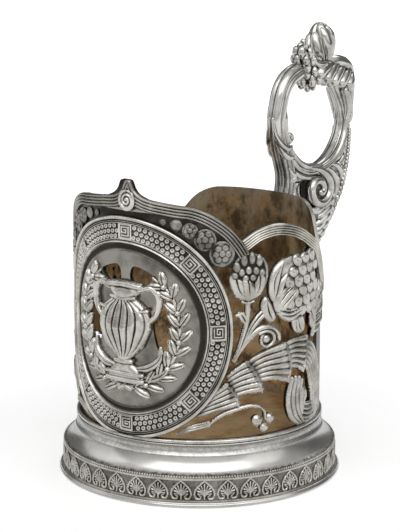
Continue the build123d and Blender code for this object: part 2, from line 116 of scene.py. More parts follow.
class Sheet:
    """Flat sheet on a square lattice, with heights and a signed distance to its outline."""

    def __init__(self, low, high, pitch=lattice):
        self.pitch = pitch
        self.start = np.floor(np.array(low) / pitch).astype(int)
        count = np.ceil(np.array(high) / pitch).astype(int) - self.start + 1
        across = (self.start[0] + np.arange(count[0])) * pitch
        up = (self.start[1] + np.arange(count[1])) * pitch
        self.u, self.v = np.meshgrid(across, up, indexing="ij")
        self.height = np.full(self.u.shape, EMPTY)
        self.edge = np.full(self.u.shape, FAR)

    def window(self, points, margin):
        """Part of the lattice round some points."""
        low = np.floor((points.min(0) - margin) / self.pitch).astype(int) - self.start - 2
        high = np.ceil((points.max(0) + margin) / self.pitch).astype(int) - self.start + 3
        return tuple(slice(max(a, 0), max(b, 0)) for a, b in zip(low, high))

    def lay(self, window, top, edge):
        """Lays a shape on the sheet: the higher top wins, and outlines join."""
        inside = edge < 0
        self.height[window] = np.where(inside, np.maximum(self.height[window], top), self.height[window])
        self.edge[window] = np.minimum(self.edge[window], edge)

    def along(self, path, width, closed=False, straight=False):
        """Place along a line and distance from it, as a share of half its width, near that line."""
        line = np.array(path, float) if straight else smooth_line(path, closed)
        if closed:
            line = np.vstack([line, line[:1]])
        half = stretch(width, np.linspace(0, 1, len(line))) / 2
        window = self.window(line, half.max())
        u = self.u[window]
        v = self.v[window]
        share = np.full(u.shape, FAR)
        place = np.zeros(u.shape)
        for i, (a, b) in enumerate(zip(line[:-1], line[1:])):
            d = b - a
            t = np.clip(((u - a[0]) * d[0] + (v - a[1]) * d[1]) / max(d @ d, 1e-9), 0, 1)
            q = np.hypot(u - a[0] - t * d[0], v - a[1] - t * d[1]) / (half[i] + (half[i + 1] - half[i]) * t)
            nearer = q < share
            share = np.where(nearer, q, share)
            place = np.where(nearer, i + t, place)
        place = place / (len(line) - 1)
        return window, place, share, stretch(width, place) / 2

    def ridge(self, path, width, rise, base=0.0, crown=0.5, closed=False, straight=False):
        """Rounded rib along a line."""
        window, place, share, half = self.along(path, width, closed, straight)
        top = stretch(base, place) + stretch(rise, place) * np.maximum(1 - share ** 2, 0) ** crown
        self.lay(window, top, (share - 1) * half)

    def emboss(self, path, width, rise, crown=0.6, straight=False):
        """Rounded swelling along a line, raised from what is already laid."""
        window, place, share, _ = self.along(path, width, straight=straight)
        swell = stretch(rise, place) * np.maximum(1 - share ** 2, 0) ** crown
        self.height[window] += np.where(self.height[window] > EMPTY / 2, swell, 0)

    def groove(self, path, width, depth, closed=False, straight=False):
        """Cut along a line, in what is already laid."""
        window, place, share, _ = self.along(path, width, closed, straight)
        cut = stretch(depth, place) * np.exp(-2 * share ** 2)
        self.height[window] -= np.where(self.height[window] > EMPTY / 2, cut, 0)

    def dome(self, middle, size, rise, base=0.0, turn=0.0, crown=0.5):
        """Rounded oval, size across its two axes, turned in degrees."""
        half = np.atleast_1d(np.array(size, float)) * np.ones(2) / 2
        middle = np.array(middle, float)
        window = self.window(middle[None, :], half.max())
        c, s = math.cos(math.radians(turn)), math.sin(math.radians(turn))
        u = self.u[window] - middle[0]
        v = self.v[window] - middle[1]
        share = np.hypot((u * c + v * s) / half[0], (v * c - u * s) / half[1])
        top = base + rise * np.maximum(1 - share ** 2, 0) ** crown
        self.lay(window, top, (share - 1) * half.min())

    def distance(self, outline, smooth=True):
        """Signed distance to a closed outline, near it."""
        line = smooth_line(outline, closed=True) if smooth else np.array(outline, float)
        window = self.window(line, 3.0)
        u = self.u[window]
        v = self.v[window]
        nearest = np.full(u.shape, FAR ** 2)
        odd = np.zeros(u.shape, bool)
        for a, b in zip(line, np.roll(line, -1, 0)):
            d = b - a
            t = np.clip(((u - a[0]) * d[0] + (v - a[1]) * d[1]) / max(d @ d, 1e-9), 0, 1)
            nearest = np.minimum(nearest, (u - a[0] - t * d[0]) ** 2 + (v - a[1] - t * d[1]) ** 2)
            crosses = (a[1] > v) != (b[1] > v)
            if abs(d[1]) > 1e-9:
                odd ^= crosses & (u < a[0] + d[0] * (v - a[1]) / d[1])
        return window, np.sqrt(nearest) * np.where(odd, -1, 1)

    def plate(self, outline, rise, base=0.0, over=1.0, smooth=True, crown=0.5):
        """Plate with a rounded edge."""
        window, edge = self.distance(outline, smooth)
        t = np.clip(-edge / over, 0, 1)
        self.lay(window, base + rise * (1 - (1 - t) ** 2) ** crown, edge)

    def pierce(self, outline, smooth=True):
        """Opening cut through the sheet."""
        window, edge = self.distance(outline, smooth)
        self.edge[window] = np.maximum(self.edge[window], -edge)

    def part_of(self, other):
        """Where another sheet on the same lattice lies on this one."""
        low = other.start - self.start
        return tuple(slice(a, a + n) for a, n in zip(low, other.u.shape))

    def take(self, other):
        """Lays another sheet on this one, as a record of all the work round a place."""
        spot = self.part_of(other)
        self.height[spot] = np.maximum(self.height[spot], other.height)
        self.edge[spot] = np.minimum(self.edge[spot], other.edge)


def blurred(field, reach):
    """Field softened over a reach given in lattice steps."""
    pad = int(3 * reach) + 1
    wide = np.pad(field, pad, mode="edge")
    across = np.fft.fftfreq(wide.shape[0])[:, None]
    up = np.fft.rfftfreq(wide.shape[1])[None, :]
    soft = np.fft.rfft2(wide) * np.exp(-2 * (math.pi * reach) ** 2 * (across ** 2 + up ** 2))
    return np.fft.irfft2(soft, wide.shape)[pad:-pad, pad:-pad]


def hollows(sheet, ground):
    """Share of oxide, 0 to 1, from how far a place lies below the work round it."""
    level = np.where(sheet.edge < 0, np.maximum(sheet.height, ground), ground)
    near = blurred(level, near_reach / sheet.pitch) - level
    wide = blurred(level, wide_reach / sheet.pitch) - level
    return np.clip(near / 0.13, 0, 1) * 0.7 + np.clip((wide + 0.05) / 0.45, 0, 1) * 0.6


def medallion_distance(sheet):
    """How far each place lies from the medallion's middle."""
    return np.hypot(sheet.u, sheet.v - medallion_z)


# Meshes
def add_object(name, data):
    """New object in the scene."""
    piece = bpy.data.objects.new(name, data)
    bpy.context.scene.collection.objects.link(piece)
    return piece


def ring_faces(rows, around, closed=False):
    """Four-sided faces between rings of points; a closed run joins the last ring to the first."""
    i, j = np.meshgrid(np.arange(rows if closed else rows - 1), np.arange(around), indexing="ij")
    k = (i + 1) % rows
    m = (j + 1) % around
    return np.stack([i * around + j, i * around + m, k * around + m, k * around + j], -1).reshape(-1, 4)


def ring_ends(rows, around):
    """Faces that close the first and the last ring."""
    return np.stack([np.arange(around)[::-1], (rows - 1) * around + np.arange(around)])


def build_mesh(name, points, faces, values=None, sharp=40.0):
    """Object from points in millimetres and arrays of faces, one array for each number of corners."""
    mesh = bpy.data.meshes.new(name)
    corners = np.concatenate([f.ravel() for f in faces]).astype(np.int32)
    sizes = np.concatenate([np.full(len(f), f.shape[1]) for f in faces])
    starts = np.concatenate([[0], np.cumsum(sizes)[:-1]]).astype(np.int32)
    mesh.vertices.add(len(points))
    mesh.vertices.foreach_set("co", (points * MM).astype(np.float32).ravel())
    mesh.loops.add(len(corners))
    mesh.loops.foreach_set("vertex_index", corners)
    mesh.polygons.add(len(sizes))
    mesh.polygons.foreach_set("loop_start", starts)
    mesh.update(calc_edges=True)
    mesh.validate()
    for label, value in (values or {}).items():
        layer = mesh.attributes.new(label, "FLOAT", "POINT")
        layer.data.foreach_set("value", value.astype(np.float32))
    mesh.shade_smooth()
    mesh.set_sharp_from_angle(angle=math.radians(sharp))
    return add_object(name, mesh)


# Faces of a lattice cell, by which of its corners A to D lie on the sheet; two letters name a crossing
cell_faces = {
    1: ["A AB DA"], 2: ["B BC AB"], 3: ["A B BC DA"], 4: ["C CD BC"], 5: ["A AB DA", "C CD BC"],
    6: ["B C CD AB"], 7: ["A B C CD DA"], 8: ["D DA CD"], 9: ["A AB CD D"], 10: ["B BC AB", "D DA CD"],
    11: ["A B BC CD D"], 12: ["C D DA BC"], 13: ["A AB BC C D"], 14: ["B C D DA AB"], 15: ["A B C D"],
}
# Cells along each border of a lattice, by their side that lies on it
border_cells = {"AB": np.s_[:, 0], "BC": np.s_[-1, :], "CD": np.s_[:, -1], "DA": np.s_[0, :]}


def on_wall(s, z, h):
    """Flat place and height to the wall's outside."""
    turn = s / unroll
    return np.stack([(seat + h) * np.sin(turn), -(seat + h) * np.cos(turn), z], -1)


def on_handle(y, z, h):
    """Flat place and height to the side of the handle."""
    return np.stack([h, y, z], -1)


def flat_place(u, v, h):
    """Flat place and height, kept flat for wrapping later."""
    return np.stack([u, v, h], -1)


def cast(name, sheet, place, floor=0.0, oxide=None, doubled=False, mirrored=False, lined=False):
    """Closed casting from a sheet: its top, its edge and a flat or doubled back."""
    keep = sheet.edge < 0
    oxide = np.zeros(keep.shape) if oxide is None else oxide
    us, vs, hs, ox = [sheet.u[keep]], [sheet.v[keep]], [sheet.height[keep]], [oxide[keep]]
    node = np.full(keep.shape, -1)
    node[keep] = np.arange(keep.sum())
    total = int(keep.sum())
    nodes_only = total
    crossings = []
    for axis in (0, 1):
        first = tuple(slice(None, -1) if k == axis else slice(None) for k in (0, 1))
        second = tuple(slice(1, None) if k == axis else slice(None) for k in (0, 1))
        crossed = keep[first] != keep[second]
        a = sheet.edge[first][crossed]
        b = sheet.edge[second][crossed]
        t = np.clip(a / (a - b), 0.05, 0.95)
        first_in = keep[first][crossed]
        us.append(sheet.u[first][crossed] + (t * sheet.pitch if axis == 0 else 0))
        vs.append(sheet.v[first][crossed] + (t * sheet.pitch if axis == 1 else 0))
        hs.append(np.where(first_in, sheet.height[first][crossed], sheet.height[second][crossed]))
        ox.append(np.where(first_in, oxide[first][crossed], oxide[second][crossed]))
        index = np.full(crossed.shape, -1)
        index[crossed] = total + np.arange(crossed.sum())
        total += int(crossed.sum())
        crossings.append(index)
    u, v, h, tone = (np.concatenate(part) for part in (us, vs, hs, ox))
    corner = {"A": node[:-1, :-1], "B": node[1:, :-1], "C": node[1:, 1:], "D": node[:-1, 1:],
              "AB": crossings[0][:, :-1], "CD": crossings[0][:, 1:],
              "DA": crossings[1][:-1, :], "BC": crossings[1][1:, :]}
    code = keep[:-1, :-1] + 2 * keep[1:, :-1] + 4 * keep[1:, 1:] + 8 * keep[:-1, 1:]
    tops = []
    rims = []
    for kind, shapes in cell_faces.items():
        chosen = code == kind
        for shape in shapes:
            names = shape.split()
            tops.append(np.stack([corner[n][chosen] for n in names], 1))
            for p, q in zip(names, names[1:] + names[:1]):
                if len(p) == 2 and len(q) == 2:
                    rims.append(np.stack([corner[p][chosen], corner[q][chosen]], 1))
                    continue
                for side, cells in border_cells.items():
                    if set(p + q) == set(side):
                        cut = chosen[cells]
                        rims.append(np.stack([corner[p][cells][cut], corner[q][cells][cut]], 1))
    if doubled:
        h[nodes_only:] = 0.0
        h = np.maximum(h, 0.0)
        back = np.arange(total)
        back[:nodes_only] = total + np.arange(nodes_only)
        points = np.vstack([place(u, v, h), place(u[:nodes_only], v[:nodes_only], -h[:nodes_only])])
        tone = np.concatenate([tone, tone[:nodes_only]])
        faces = tops + [back[f[:, ::-1]] for f in tops]
    else:
        points = np.vstack([place(u, v, np.maximum(h, floor + 0.02)), place(u, v, np.full(total, floor))])
        tone = np.concatenate([tone, tone if lined else np.ones(total)])
        rim = np.vstack(rims)
        walls = np.stack([rim[:, 0] + total, rim[:, 1] + total, rim[:, 1], rim[:, 0]], 1)
        faces = tops + [f[:, ::-1] + total for f in tops] + [walls]
    values = {"oxide": tone}
    if lined:
        values["inside"] = np.concatenate([np.zeros(total), np.ones(total)])
    if mirrored:
        points = points * np.array([-1.0, 1.0, 1.0])
        faces = [f[:, ::-1] for f in faces]
    merged = {}
    for f in faces:
        merged.setdefault(f.shape[1], []).append(f)
    return build_mesh(name, points, [np.vstack(group) for group in merged.values()], values)


def turned(name, profile, segments=256, closed=True, sharp=35.0, oxide=0.0, lobes=None,
           place=(0.0, 0.0, 0.0)):
    """Turned ring or knob from a profile of radius and height."""
    line = np.array(profile, float)
    turn = np.linspace(0, 2 * math.pi, segments, endpoint=False)
    height = line[:, 1:] * np.ones(segments)
    radius = line[:, :1] * np.ones(segments)
    if lobes is not None:
        radius = lobes(radius, height, turn)
    points = np.stack([radius * np.sin(turn), -radius * np.cos(turn), height], -1).reshape(-1, 3) + place
    faces = [ring_faces(len(line), segments, closed)]
    if not closed:
        faces.append(ring_ends(len(line), segments))
    tone = np.array(oxide, float)
    if tone.ndim == 1:
        tone = tone[:, None]
    return build_mesh(name, points, faces, {"oxide": (tone * np.ones(radius.shape)).ravel()}, sharp)


# Node trees
class Wiring:
    """Node tree with short calls that add nodes and join them."""

    def __init__(self, tree):
        self.tree = tree
        self.nodes = tree.nodes
        self.links = tree.links

    def join(self, value, socket):
        """Joins an output to an input, or gives the input a plain value."""
        if isinstance(value, bpy.types.NodeSocket):
            self.links.new(value, socket)
        else:
            socket.default_value = value

    def math(self, operation, *values):
        """Sum, product or other reckoning of values."""
        node = self.nodes.new("ShaderNodeMath")
        node.operation = operation
        for value, socket in zip(values, node.inputs):
            self.join(value, socket)
        return node.outputs[0]

    def spread(self, value, low, high, to_low=0.0, to_high=1.0):
        """Stretches part of a range over another, and clamps it."""
        node = self.nodes.new("ShaderNodeMapRange")
        for label, number in zip(("From Min", "From Max", "To Min", "To Max"),
                                 (low, high, to_low, to_high)):
            node.inputs[label].default_value = number
        self.join(value, node.inputs["Value"])
        return node.outputs["Result"]

    def rays(self):
        """Share of rays that come straight or through glass, and share of those mirrored by metal."""
        path = self.nodes.new("ShaderNodeLightPath").outputs
        return self.math("MAXIMUM", path["Is Camera Ray"],
                         path["Is Transmission Ray"]), path["Is Glossy Ray"]


class Tree(Wiring):
    """Geometry tree with named sizes."""

    def __init__(self, name, sizes):
        super().__init__(bpy.data.node_groups.new(name, "GeometryNodeTree"))
        face = self.tree.interface
        face.new_socket("Geometry", in_out="INPUT", socket_type="NodeSocketGeometry")
        for label, kind in sizes:
            face.new_socket(label, in_out="INPUT", socket_type="NodeSocket" + kind)
        face.new_socket("Geometry", in_out="OUTPUT", socket_type="NodeSocketGeometry")
        self.given = self.nodes.new("NodeGroupInput").outputs
        self.result = self.nodes.new("NodeGroupOutput").inputs["Geometry"]

    def add(self, kind, out=0, settings=None, **values):
        """New node with its inputs joined by name, and one of its outputs."""
        node = self.nodes.new(kind)
        for label, value in (settings or {}).items():
            setattr(node, label, value)
        for label, value in values.items():
            self.join(value, node.inputs[label.replace("_", " ")])
        return node.outputs[out]

    def instances(self):
        """The piece at every marked place, in the size that is marked there."""
        piece = self.add("GeometryNodeObjectInfo", 4, Object=self.given["Piece"])
        size = self.add("GeometryNodeInputNamedAttribute", settings={"data_type": "FLOAT"}, Name="size")
        scale = self.math("MULTIPLY", size, self.given["Scale"])
        return self.add("GeometryNodeInstanceOnPoints", Points=self.given["Geometry"], Instance=piece,
                        Scale=scale)

    def wrap(self, geometry, radius, unrolled):
        """Wraps flat work, across X, up Y and out Z, on an upright round wall."""
        position = self.add("GeometryNodeInputPosition")
        parts = self.nodes.new("ShaderNodeSeparateXYZ")
        self.join(position, parts.inputs[0])
        across, up, out = parts.outputs
        turn = self.math("DIVIDE", across, unrolled)
        reach = self.math("ADD", radius, out)
        x = self.math("MULTIPLY", reach, self.math("SINE", turn))
        y = self.math("MULTIPLY", reach, self.math("MULTIPLY", self.math("COSINE", turn), -1.0))
        place = self.add("ShaderNodeCombineXYZ", X=x, Y=y, Z=up)
        return self.add("GeometryNodeSetPosition", Geometry=geometry, Position=place)

    def close(self, geometry):
        """Ends the tree with real geometry in its material."""
        solid = self.add("GeometryNodeRealizeInstances", Geometry=geometry)
        solid = self.add("GeometryNodeSetMaterial", Geometry=solid, Material=self.given["Material"])
        self.join(solid, self.result)
        return self.tree


def reed_tree():
    """Reeded moulding along a rim edge, wrapped on the wall."""
    t = Tree("reeded_moulding", [("Section", "Object"), ("Wall radius", "Float"),
                                 ("Unroll radius", "Float"), ("Material", "Material")])
    path = t.add("GeometryNodeMeshToCurve", Mesh=t.given["Geometry"])
    path = t.add("GeometryNodeSetCurveNormal", settings={"mode": "Z_UP"}, Curve=path)
    section = t.add("GeometryNodeObjectInfo", 4, Object=t.given["Section"])
    section = t.add("GeometryNodeMeshToCurve", Mesh=section)
    run = t.add("GeometryNodeCurveToMesh", Curve=path, Profile_Curve=section, Fill_Caps=True)
    return t.close(t.wrap(run, t.given["Wall radius"], t.given["Unroll radius"]))


def set_tree():
    """Small worked pieces set on marked places, wrapped on the wall."""
    t = Tree("set_pieces", [("Piece", "Object"), ("Scale", "Float"), ("Wall radius", "Float"),
                            ("Unroll radius", "Float"), ("Material", "Material")])
    many = t.add("GeometryNodeRealizeInstances", Geometry=t.instances())
    return t.close(t.wrap(many, t.given["Wall radius"], t.given["Unroll radius"]))


def bead_tree():
    """Round berries or beads set on marked places in space."""
    t = Tree("set_beads", [("Piece", "Object"), ("Scale", "Float"), ("Material", "Material")])
    return t.close(t.instances())


def run_tree(name, tree, start, **sizes):
    """Runs a tree on a starting object and keeps the result as a plain mesh."""
    live = start.modifiers.new("work", "NODES")
    live.node_group = tree
    for item in tree.interface.items_tree:
        label = item.name.lower().replace(" ", "_")
        if item.in_out == "INPUT" and label in sizes:
            live[item.identifier] = sizes[label]
    bpy.context.view_layer.update()
    graph = bpy.context.evaluated_depsgraph_get()
    mesh = bpy.data.meshes.new_from_object(start.evaluated_get(graph))
    start.modifiers.remove(live)
    bpy.data.objects.remove(start)
    mesh.name = name
    mesh.shade_smooth()
    mesh.set_sharp_from_angle(angle=math.radians(40))
    return add_object(name, mesh)


def wire(name, points, joined, label, values):
    """Object of points, in millimetres, joined or loose, each with a value."""
    mesh = bpy.data.meshes.new(name)
    mesh.from_pydata([tuple(p) for p in np.array(points, float) * MM], joined, [])
    layer = mesh.attributes.new(label, "FLOAT", "POINT")
    layer.data.foreach_set("value", np.array(values, np.float32))
    return add_object(name, mesh)


def marks(name, points, sizes=None):
    """Object of loose points, in millimetres, each with a size."""
    return wire(name, points, [], "size", np.ones(len(points)) if sizes is None else sizes)


def line_of(name, points, closed=False, oxide=None):
    """Object of points joined in a line, in millimetres, each with its oxide."""
    n = len(points)
    joined = [(i, i + 1) for i in range(n - 1)] + ([(n - 1, 0)] if closed else [])
    return wire(name, points, joined, "oxide", np.zeros(n) if oxide is None else oxide)


# Materials
class Finish(Wiring):
    """Procedural material."""

    def __init__(self, name):
        self.material = bpy.data.materials.new(name)
        self.material.use_nodes = True
        super().__init__(self.material.node_tree)
        self.shader = self.nodes["Principled BSDF"]
        self.place = self.nodes.new("ShaderNodeTexCoord").outputs["Object"]

    def noise(self, scale, detail=4.0, rough=0.55, stretch_z=1.0):
        """Soft patches, in patches to the metre."""
        source = self.place
        if stretch_z != 1.0:
            squeeze = self.nodes.new("ShaderNodeMapping")
            squeeze.inputs["Scale"].default_value = (1.0, 1.0, stretch_z)
            self.links.new(self.place, squeeze.inputs["Vector"])
            source = squeeze.outputs["Vector"]
        node = self.nodes.new("ShaderNodeTexNoise")
        self.links.new(source, node.inputs["Vector"])
        node.inputs["Scale"].default_value = scale
        node.inputs["Detail"].default_value = detail
        node.inputs["Roughness"].default_value = rough
        return node.outputs["Fac"]

    def mix(self, share, first, second):
        """Colour between two."""
        node = self.nodes.new("ShaderNodeMix")
        node.data_type = "RGBA"
        self.join(share, node.inputs["Factor"])
        for value, label in ((first, 6), (second, 7)):
            self.join(value if isinstance(value, bpy.types.NodeSocket) else (*value, 1.0),
                      node.inputs[label])
        return node.outputs[2]

    def value(self, label):
        """The piece's own attribute."""
        node = self.nodes.new("ShaderNodeAttribute")
        node.attribute_name = label
        return node.outputs["Fac"]

    def bump(self, height, strength, depth):
        """Fine unevenness of the surface."""
        node = self.nodes.new("ShaderNodeBump")
        node.inputs["Strength"].default_value = strength
        node.inputs["Distance"].default_value = depth
        self.links.new(height, node.inputs["Height"])
        self.links.new(node.outputs["Normal"], self.shader.inputs["Normal"])

    def finish(self, colour, rough, metal):
        """Joins the looks to the shader, and gives the material."""
        self.join(colour, self.shader.inputs["Base Color"])
        self.join(rough, self.shader.inputs["Roughness"])
        self.join(metal, self.shader.inputs["Metallic"])
        return self.material


# Colours of the metal
bright_silver = (0.68, 0.66, 0.615)
worn_silver = (0.44, 0.42, 0.37)
sheet_silver = (0.40, 0.385, 0.36)
black_oxide = (0.040, 0.034, 0.027)


def oxidised_silver(name, bright=bright_silver, gloss=0.25, depth=1.0, wear_and_reflection_tone=worn_silver, patches=190.0):
    """Cast silver, bright in patches on top where wear has polished it, with black oxide left in the hollows;
    on the mirror field the bright and dark patches are painted reflections.
    """
    f = Finish(name)
    patch = f.noise(patches, 5.0, 0.6)
    speck = f.noise(1500.0, 3.0, 0.6)
    share = f.math("MULTIPLY", f.value("oxide"), f.spread(patch, 0.3, 0.7, 0.75 * depth, 1.15 * depth))
    share = f.spread(f.math("ADD", share, f.spread(speck, 0.35, 0.75, -0.06, 0.12)), 0.10, 0.85)
    patchy_silver = f.mix(f.spread(patch, 0.42, 0.68), bright, wear_and_reflection_tone)
    colour = f.mix(share, patchy_silver, black_oxide)
    rough = f.math("ADD", f.spread(share, 0.0, 1.0, gloss, gloss + 0.32),
                   f.spread(speck, 0.3, 0.7, -0.03, 0.06))
    f.bump(speck, 0.12, 0.00008)
    return f.finish(colour, rough, f.spread(share, 0.2, 1.0, 1.0, 0.75))


def polished_silver(name):
    """Turned silver, polished, with fine turning lines and a dark stain near its lower edge."""
    f = Finish(name)
    patch = f.noise(130.0, 4.0, 0.6)
    lines = f.noise(60.0, 3.0, 0.7, stretch_z=90.0)
    speck = f.noise(900.0, 4.0, 0.65)
    share = f.math("MULTIPLY", f.value("oxide"), f.spread(speck, 0.30, 0.62, 0.2, 1.2))
    share = f.spread(share, 0.12, 0.8)
    patchy_silver = f.mix(f.spread(patch, 0.45, 0.75, 0.0, 0.7), (0.61, 0.60, 0.575), (0.46, 0.45, 0.42))
    colour = f.mix(share, patchy_silver, (0.05, 0.048, 0.045))
    rough = f.math("ADD", f.spread(share, 0.0, 1.0, 0.20, 0.48), f.spread(lines, 0.3, 0.7, -0.02, 0.08))
    f.bump(lines, 0.06, 0.00005)
    return f.finish(colour, rough, 1.0)


def gilt_sheet(name, outside, lined=None):
    """Sheet: brown gilding with wear where it is lined, silver with oxide elsewhere. Inside it is paler low
    down (painted light) and greyer near the top (painted sheen); the near-black of the oxide also stands for
    painted shade on the wall's ground.
    """
    f = Finish(name)
    cloud = f.noise(75.0, 6.0, 0.62)
    streak = f.noise(170.0, 5.0, 0.65, stretch_z=0.45)
    fleck = f.noise(900.0, 3.0, 0.6)
    rust = f.noise(118.0, 5.0, 0.6)
    band = f.noise(45.0, 3.0, 0.6, stretch_z=7.0)
    brown = f.mix(f.spread(cloud, 0.40, 0.60), (0.22, 0.142, 0.061), (0.68, 0.52, 0.30))
    height = f.nodes.new("ShaderNodeSeparateXYZ")
    f.links.new(f.place, height.inputs[0])
    low = f.spread(height.outputs["Z"], 0.050, 0.018)
    brown = f.mix(f.spread(streak, 0.48, 0.74, 0.0, 0.75), brown, (0.66, 0.54, 0.36))
    # Paler gold low down inside: painted light on the shaded lower lining.
    brown = f.mix(f.math("MULTIPLY", low, f.spread(streak, 0.35, 0.6, 0.65, 1.0)), brown,
                  (0.93, 0.79, 0.55))
    brown = f.mix(f.math("MULTIPLY", low, f.spread(band, 0.49, 0.60, 0.0, 0.85)), brown, (0.60, 0.31, 0.10))
    brown = f.mix(f.spread(rust, 0.54, 0.68, 0.0, 0.7), brown, (0.58, 0.29, 0.095))
    # Greyer silver high up inside, near the top edge: painted sheen.
    high = f.math("MULTIPLY", f.spread(height.outputs["Z"], 0.063, 0.074), f.spread(streak, 0.38, 0.6))
    brown = f.mix(f.math("MULTIPLY", high, 0.75), brown, (0.44, 0.42, 0.36))
    if lined is None:
        stain = f.noise(230.0, 7.0, 0.7, stretch_z=0.6)
        brown = f.mix(f.spread(stain, 0.48, 0.61, 0.0, 0.85), brown, (0.085, 0.058, 0.034))
    brown = f.mix(f.spread(fleck, 0.58, 0.78, 0.0, 0.55), brown, (0.07, 0.047, 0.028))
    share = f.math("ADD", f.spread(cloud, 0.35, 0.7, 0.05, 0.55), f.value("oxide"))
    share = f.spread(share, 0.1, 1.1)
    # Near-black: oxide, and on the wall sheet's ground between the castings also painted shade.
    silver = f.mix(share, outside, (0.024, 0.021, 0.018))
    within = f.spread(f.value("inside"), 0.88, 1.0) if lined is None else lined
    colour = f.mix(within, silver, brown)
    rough = f.math("ADD", f.spread(within, 0.0, 1.0, 0.28, 0.36), f.spread(streak, 0.3, 0.7, -0.06, 0.12))
    f.bump(fleck, 0.10, 0.00006)
    return f.finish(colour, rough, f.spread(within, 0.0, 1.0, 0.95, 0.72))


cast_finish = oxidised_silver("cast_oxidised_silver")
trim_finish = oxidised_silver("bright_trim_silver", (0.70, 0.68, 0.635), 0.22, 1.0)
# Silver for the plate in the bridge's recess, black all over there: painted shade.
recess_shade_finish = oxidised_silver("dark_ground_silver", (0.36, 0.345, 0.32), 0.30, 1.3)
# Mirror field: a darker silver of its own, with large bright and dark patches that are painted reflections.
field_reflection_finish = oxidised_silver("mirror_field_silver", (0.31, 0.293, 0.264), 0.12, 1.2, (0.08, 0.074, 0.064),
                               85.0)
# Darker silver for the front rim reeds and the finial.
rim_finish = oxidised_silver("dull_rim_silver", (0.35, 0.337, 0.308), 0.24, 1.0, (0.23, 0.217, 0.19))
handle_finish = oxidised_silver("cast_handle_silver", (0.665, 0.652, 0.622), 0.14, 1.0, (0.40, 0.387, 0.36))
foot_finish = polished_silver("polished_foot_silver")
wall_finish = gilt_sheet("gilt_lined_sheet", sheet_silver)
floor_gilt = gilt_sheet("gilt_floor", sheet_silver, 1.0)


def dress(piece, finish, *nodes, slot="oxidised_silver"):
    """Gives a finished piece its material, sets it under the root body and hides the nodes that it stands
    for; slot is not used.
    """
    piece.data.materials.clear()
    piece.data.materials.append(finish)
    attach(piece, "root")
    if nodes:
        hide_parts(*nodes)
    return piece


reeds = reed_tree()
setting = set_tree()
beading = bead_tree()


def set_row(name, die, places, radius, unrolled, finish):
    """Like pieces set on places round a wall; the die that they are struck from is then put away."""
    struck = run_tree(name, setting, marks(name, places), piece=die, scale=1.0, wall_radius=radius * MM,
                      unroll_radius=unrolled * MM, material=finish)
    bpy.data.objects.remove(die)
    dress(struck, finish)


# Foot: wire, palmette strip, milgrain, spun cove, collar and lower wire
def rounded(middle, radii, start, end, count=8):
    """Arc of a profile, angles in degrees from outwards to upwards."""
    angles = np.radians(np.linspace(start, end, count))
    return [(middle[0] + radii[0] * math.cos(a), middle[1] + radii[1] * math.sin(a)) for a in angles]


wire_profile = [(37.4, 0.0), *rounded((39.45, 0.55), (0.55, 0.55), -90, 40),
                *rounded((39.2, 1.15), (0.5, 0.35), 0, 90), (37.4, 1.5)]
dress(turned("foot_wire", wire_profile), foot_finish, "base_wire", slot="polished_silver")
strip_profile = [(37.9, 1.5), (38.72, 1.5), (38.72, 1.85), (38.5, 1.95), (38.5, 7.45), (38.75, 7.55),
                 (38.75, 8.0), (37.9, 8.0)]
strip_oxide = [0.2, 0.2, 0.1, 0.75, 0.62, 0.1, 0.1, 0.2]
gallery = turned("gallery_strip", strip_profile, oxide=strip_oxide)
dress(gallery, cast_finish, "palmette_gallery")

palmette = Sheet((-3.4, 1.8), (3.4, 7.7), 0.16)
frame_half = [(0.0, 7.4), (0.9, 6.65), (1.95, 5.6), (2.62, 4.3), (2.6, 3.1), (2.0, 2.35), (1.2, 2.45),
              (1.0, 3.1), (1.5, 3.35)]
frame_outline = [(0.0, 7.2), (0.9, 6.5), (1.9, 5.5), (2.55, 4.2), (2.5, 3.0), (1.8, 2.3), (0.0, 2.3)]
palmette.plate(frame_outline + [(-u, v) for u, v in reversed(frame_outline[1:-1])], 0.03, 0.03, over=0.3,
               smooth=False)
for side in (1, -1):
    palmette.ridge([(side * u, v) for u, v in frame_half], [0.52, 0.58, 0.6, 0.6, 0.58, 0.55, 0.5, 0.45],
                   0.46)
    for tip, bend in (((1.75, 3.75), 0.25), ((1.85, 4.55), 0.3), ((1.5, 5.3), 0.25), ((0.85, 5.9), 0.15)):
        root = (side * 0.18, 3.1 + 0.3 * bend)
        middle = (side * tip[0] * 0.5, (root[1] + tip[1]) / 2 + bend)
        palmette.ridge([root, middle, (side * tip[0], tip[1])], [0.26, 0.4, 0.56], [0.26, 0.34, 0.44])
palmette.ridge([(0.0, 2.3), (0.0, 4.4), (0.0, 6.4)], [0.56, 0.4, 0.56], 0.44)
palmette_die = cast("palmette_die", palmette, flat_place, -0.03, np.clip(1.1 - palmette.height * 2.8, 0, 1))
palmette_pitch = 2 * math.pi / palmette_count * gallery_radius
palmette_places = [((i + palmette_phase) * palmette_pitch, 0.0, 0.0) for i in range(palmette_count)]
set_row("palmette_row", palmette_die, palmette_places, strip_radius, gallery_radius, cast_finish)


def bead_die(name, profile, segments, oxide):
    """Small round bead, turned about its own outward axis."""
    line = np.array(profile, float)
    turn = np.linspace(0, 2 * math.pi, segments, endpoint=False)
    points = np.stack([np.outer(line[:, 0], np.cos(turn)), np.outer(line[:, 0], np.sin(turn)),
                       np.outer(line[:, 1], np.ones(segments))], -1).reshape(-1, 3)
    tone = np.repeat(np.array(oxide, float), segments)
    faces = [ring_faces(len(line), segments), ring_ends(len(line), segments)]
    return build_mesh(name, points, faces, {"oxide": tone}, 80.0)


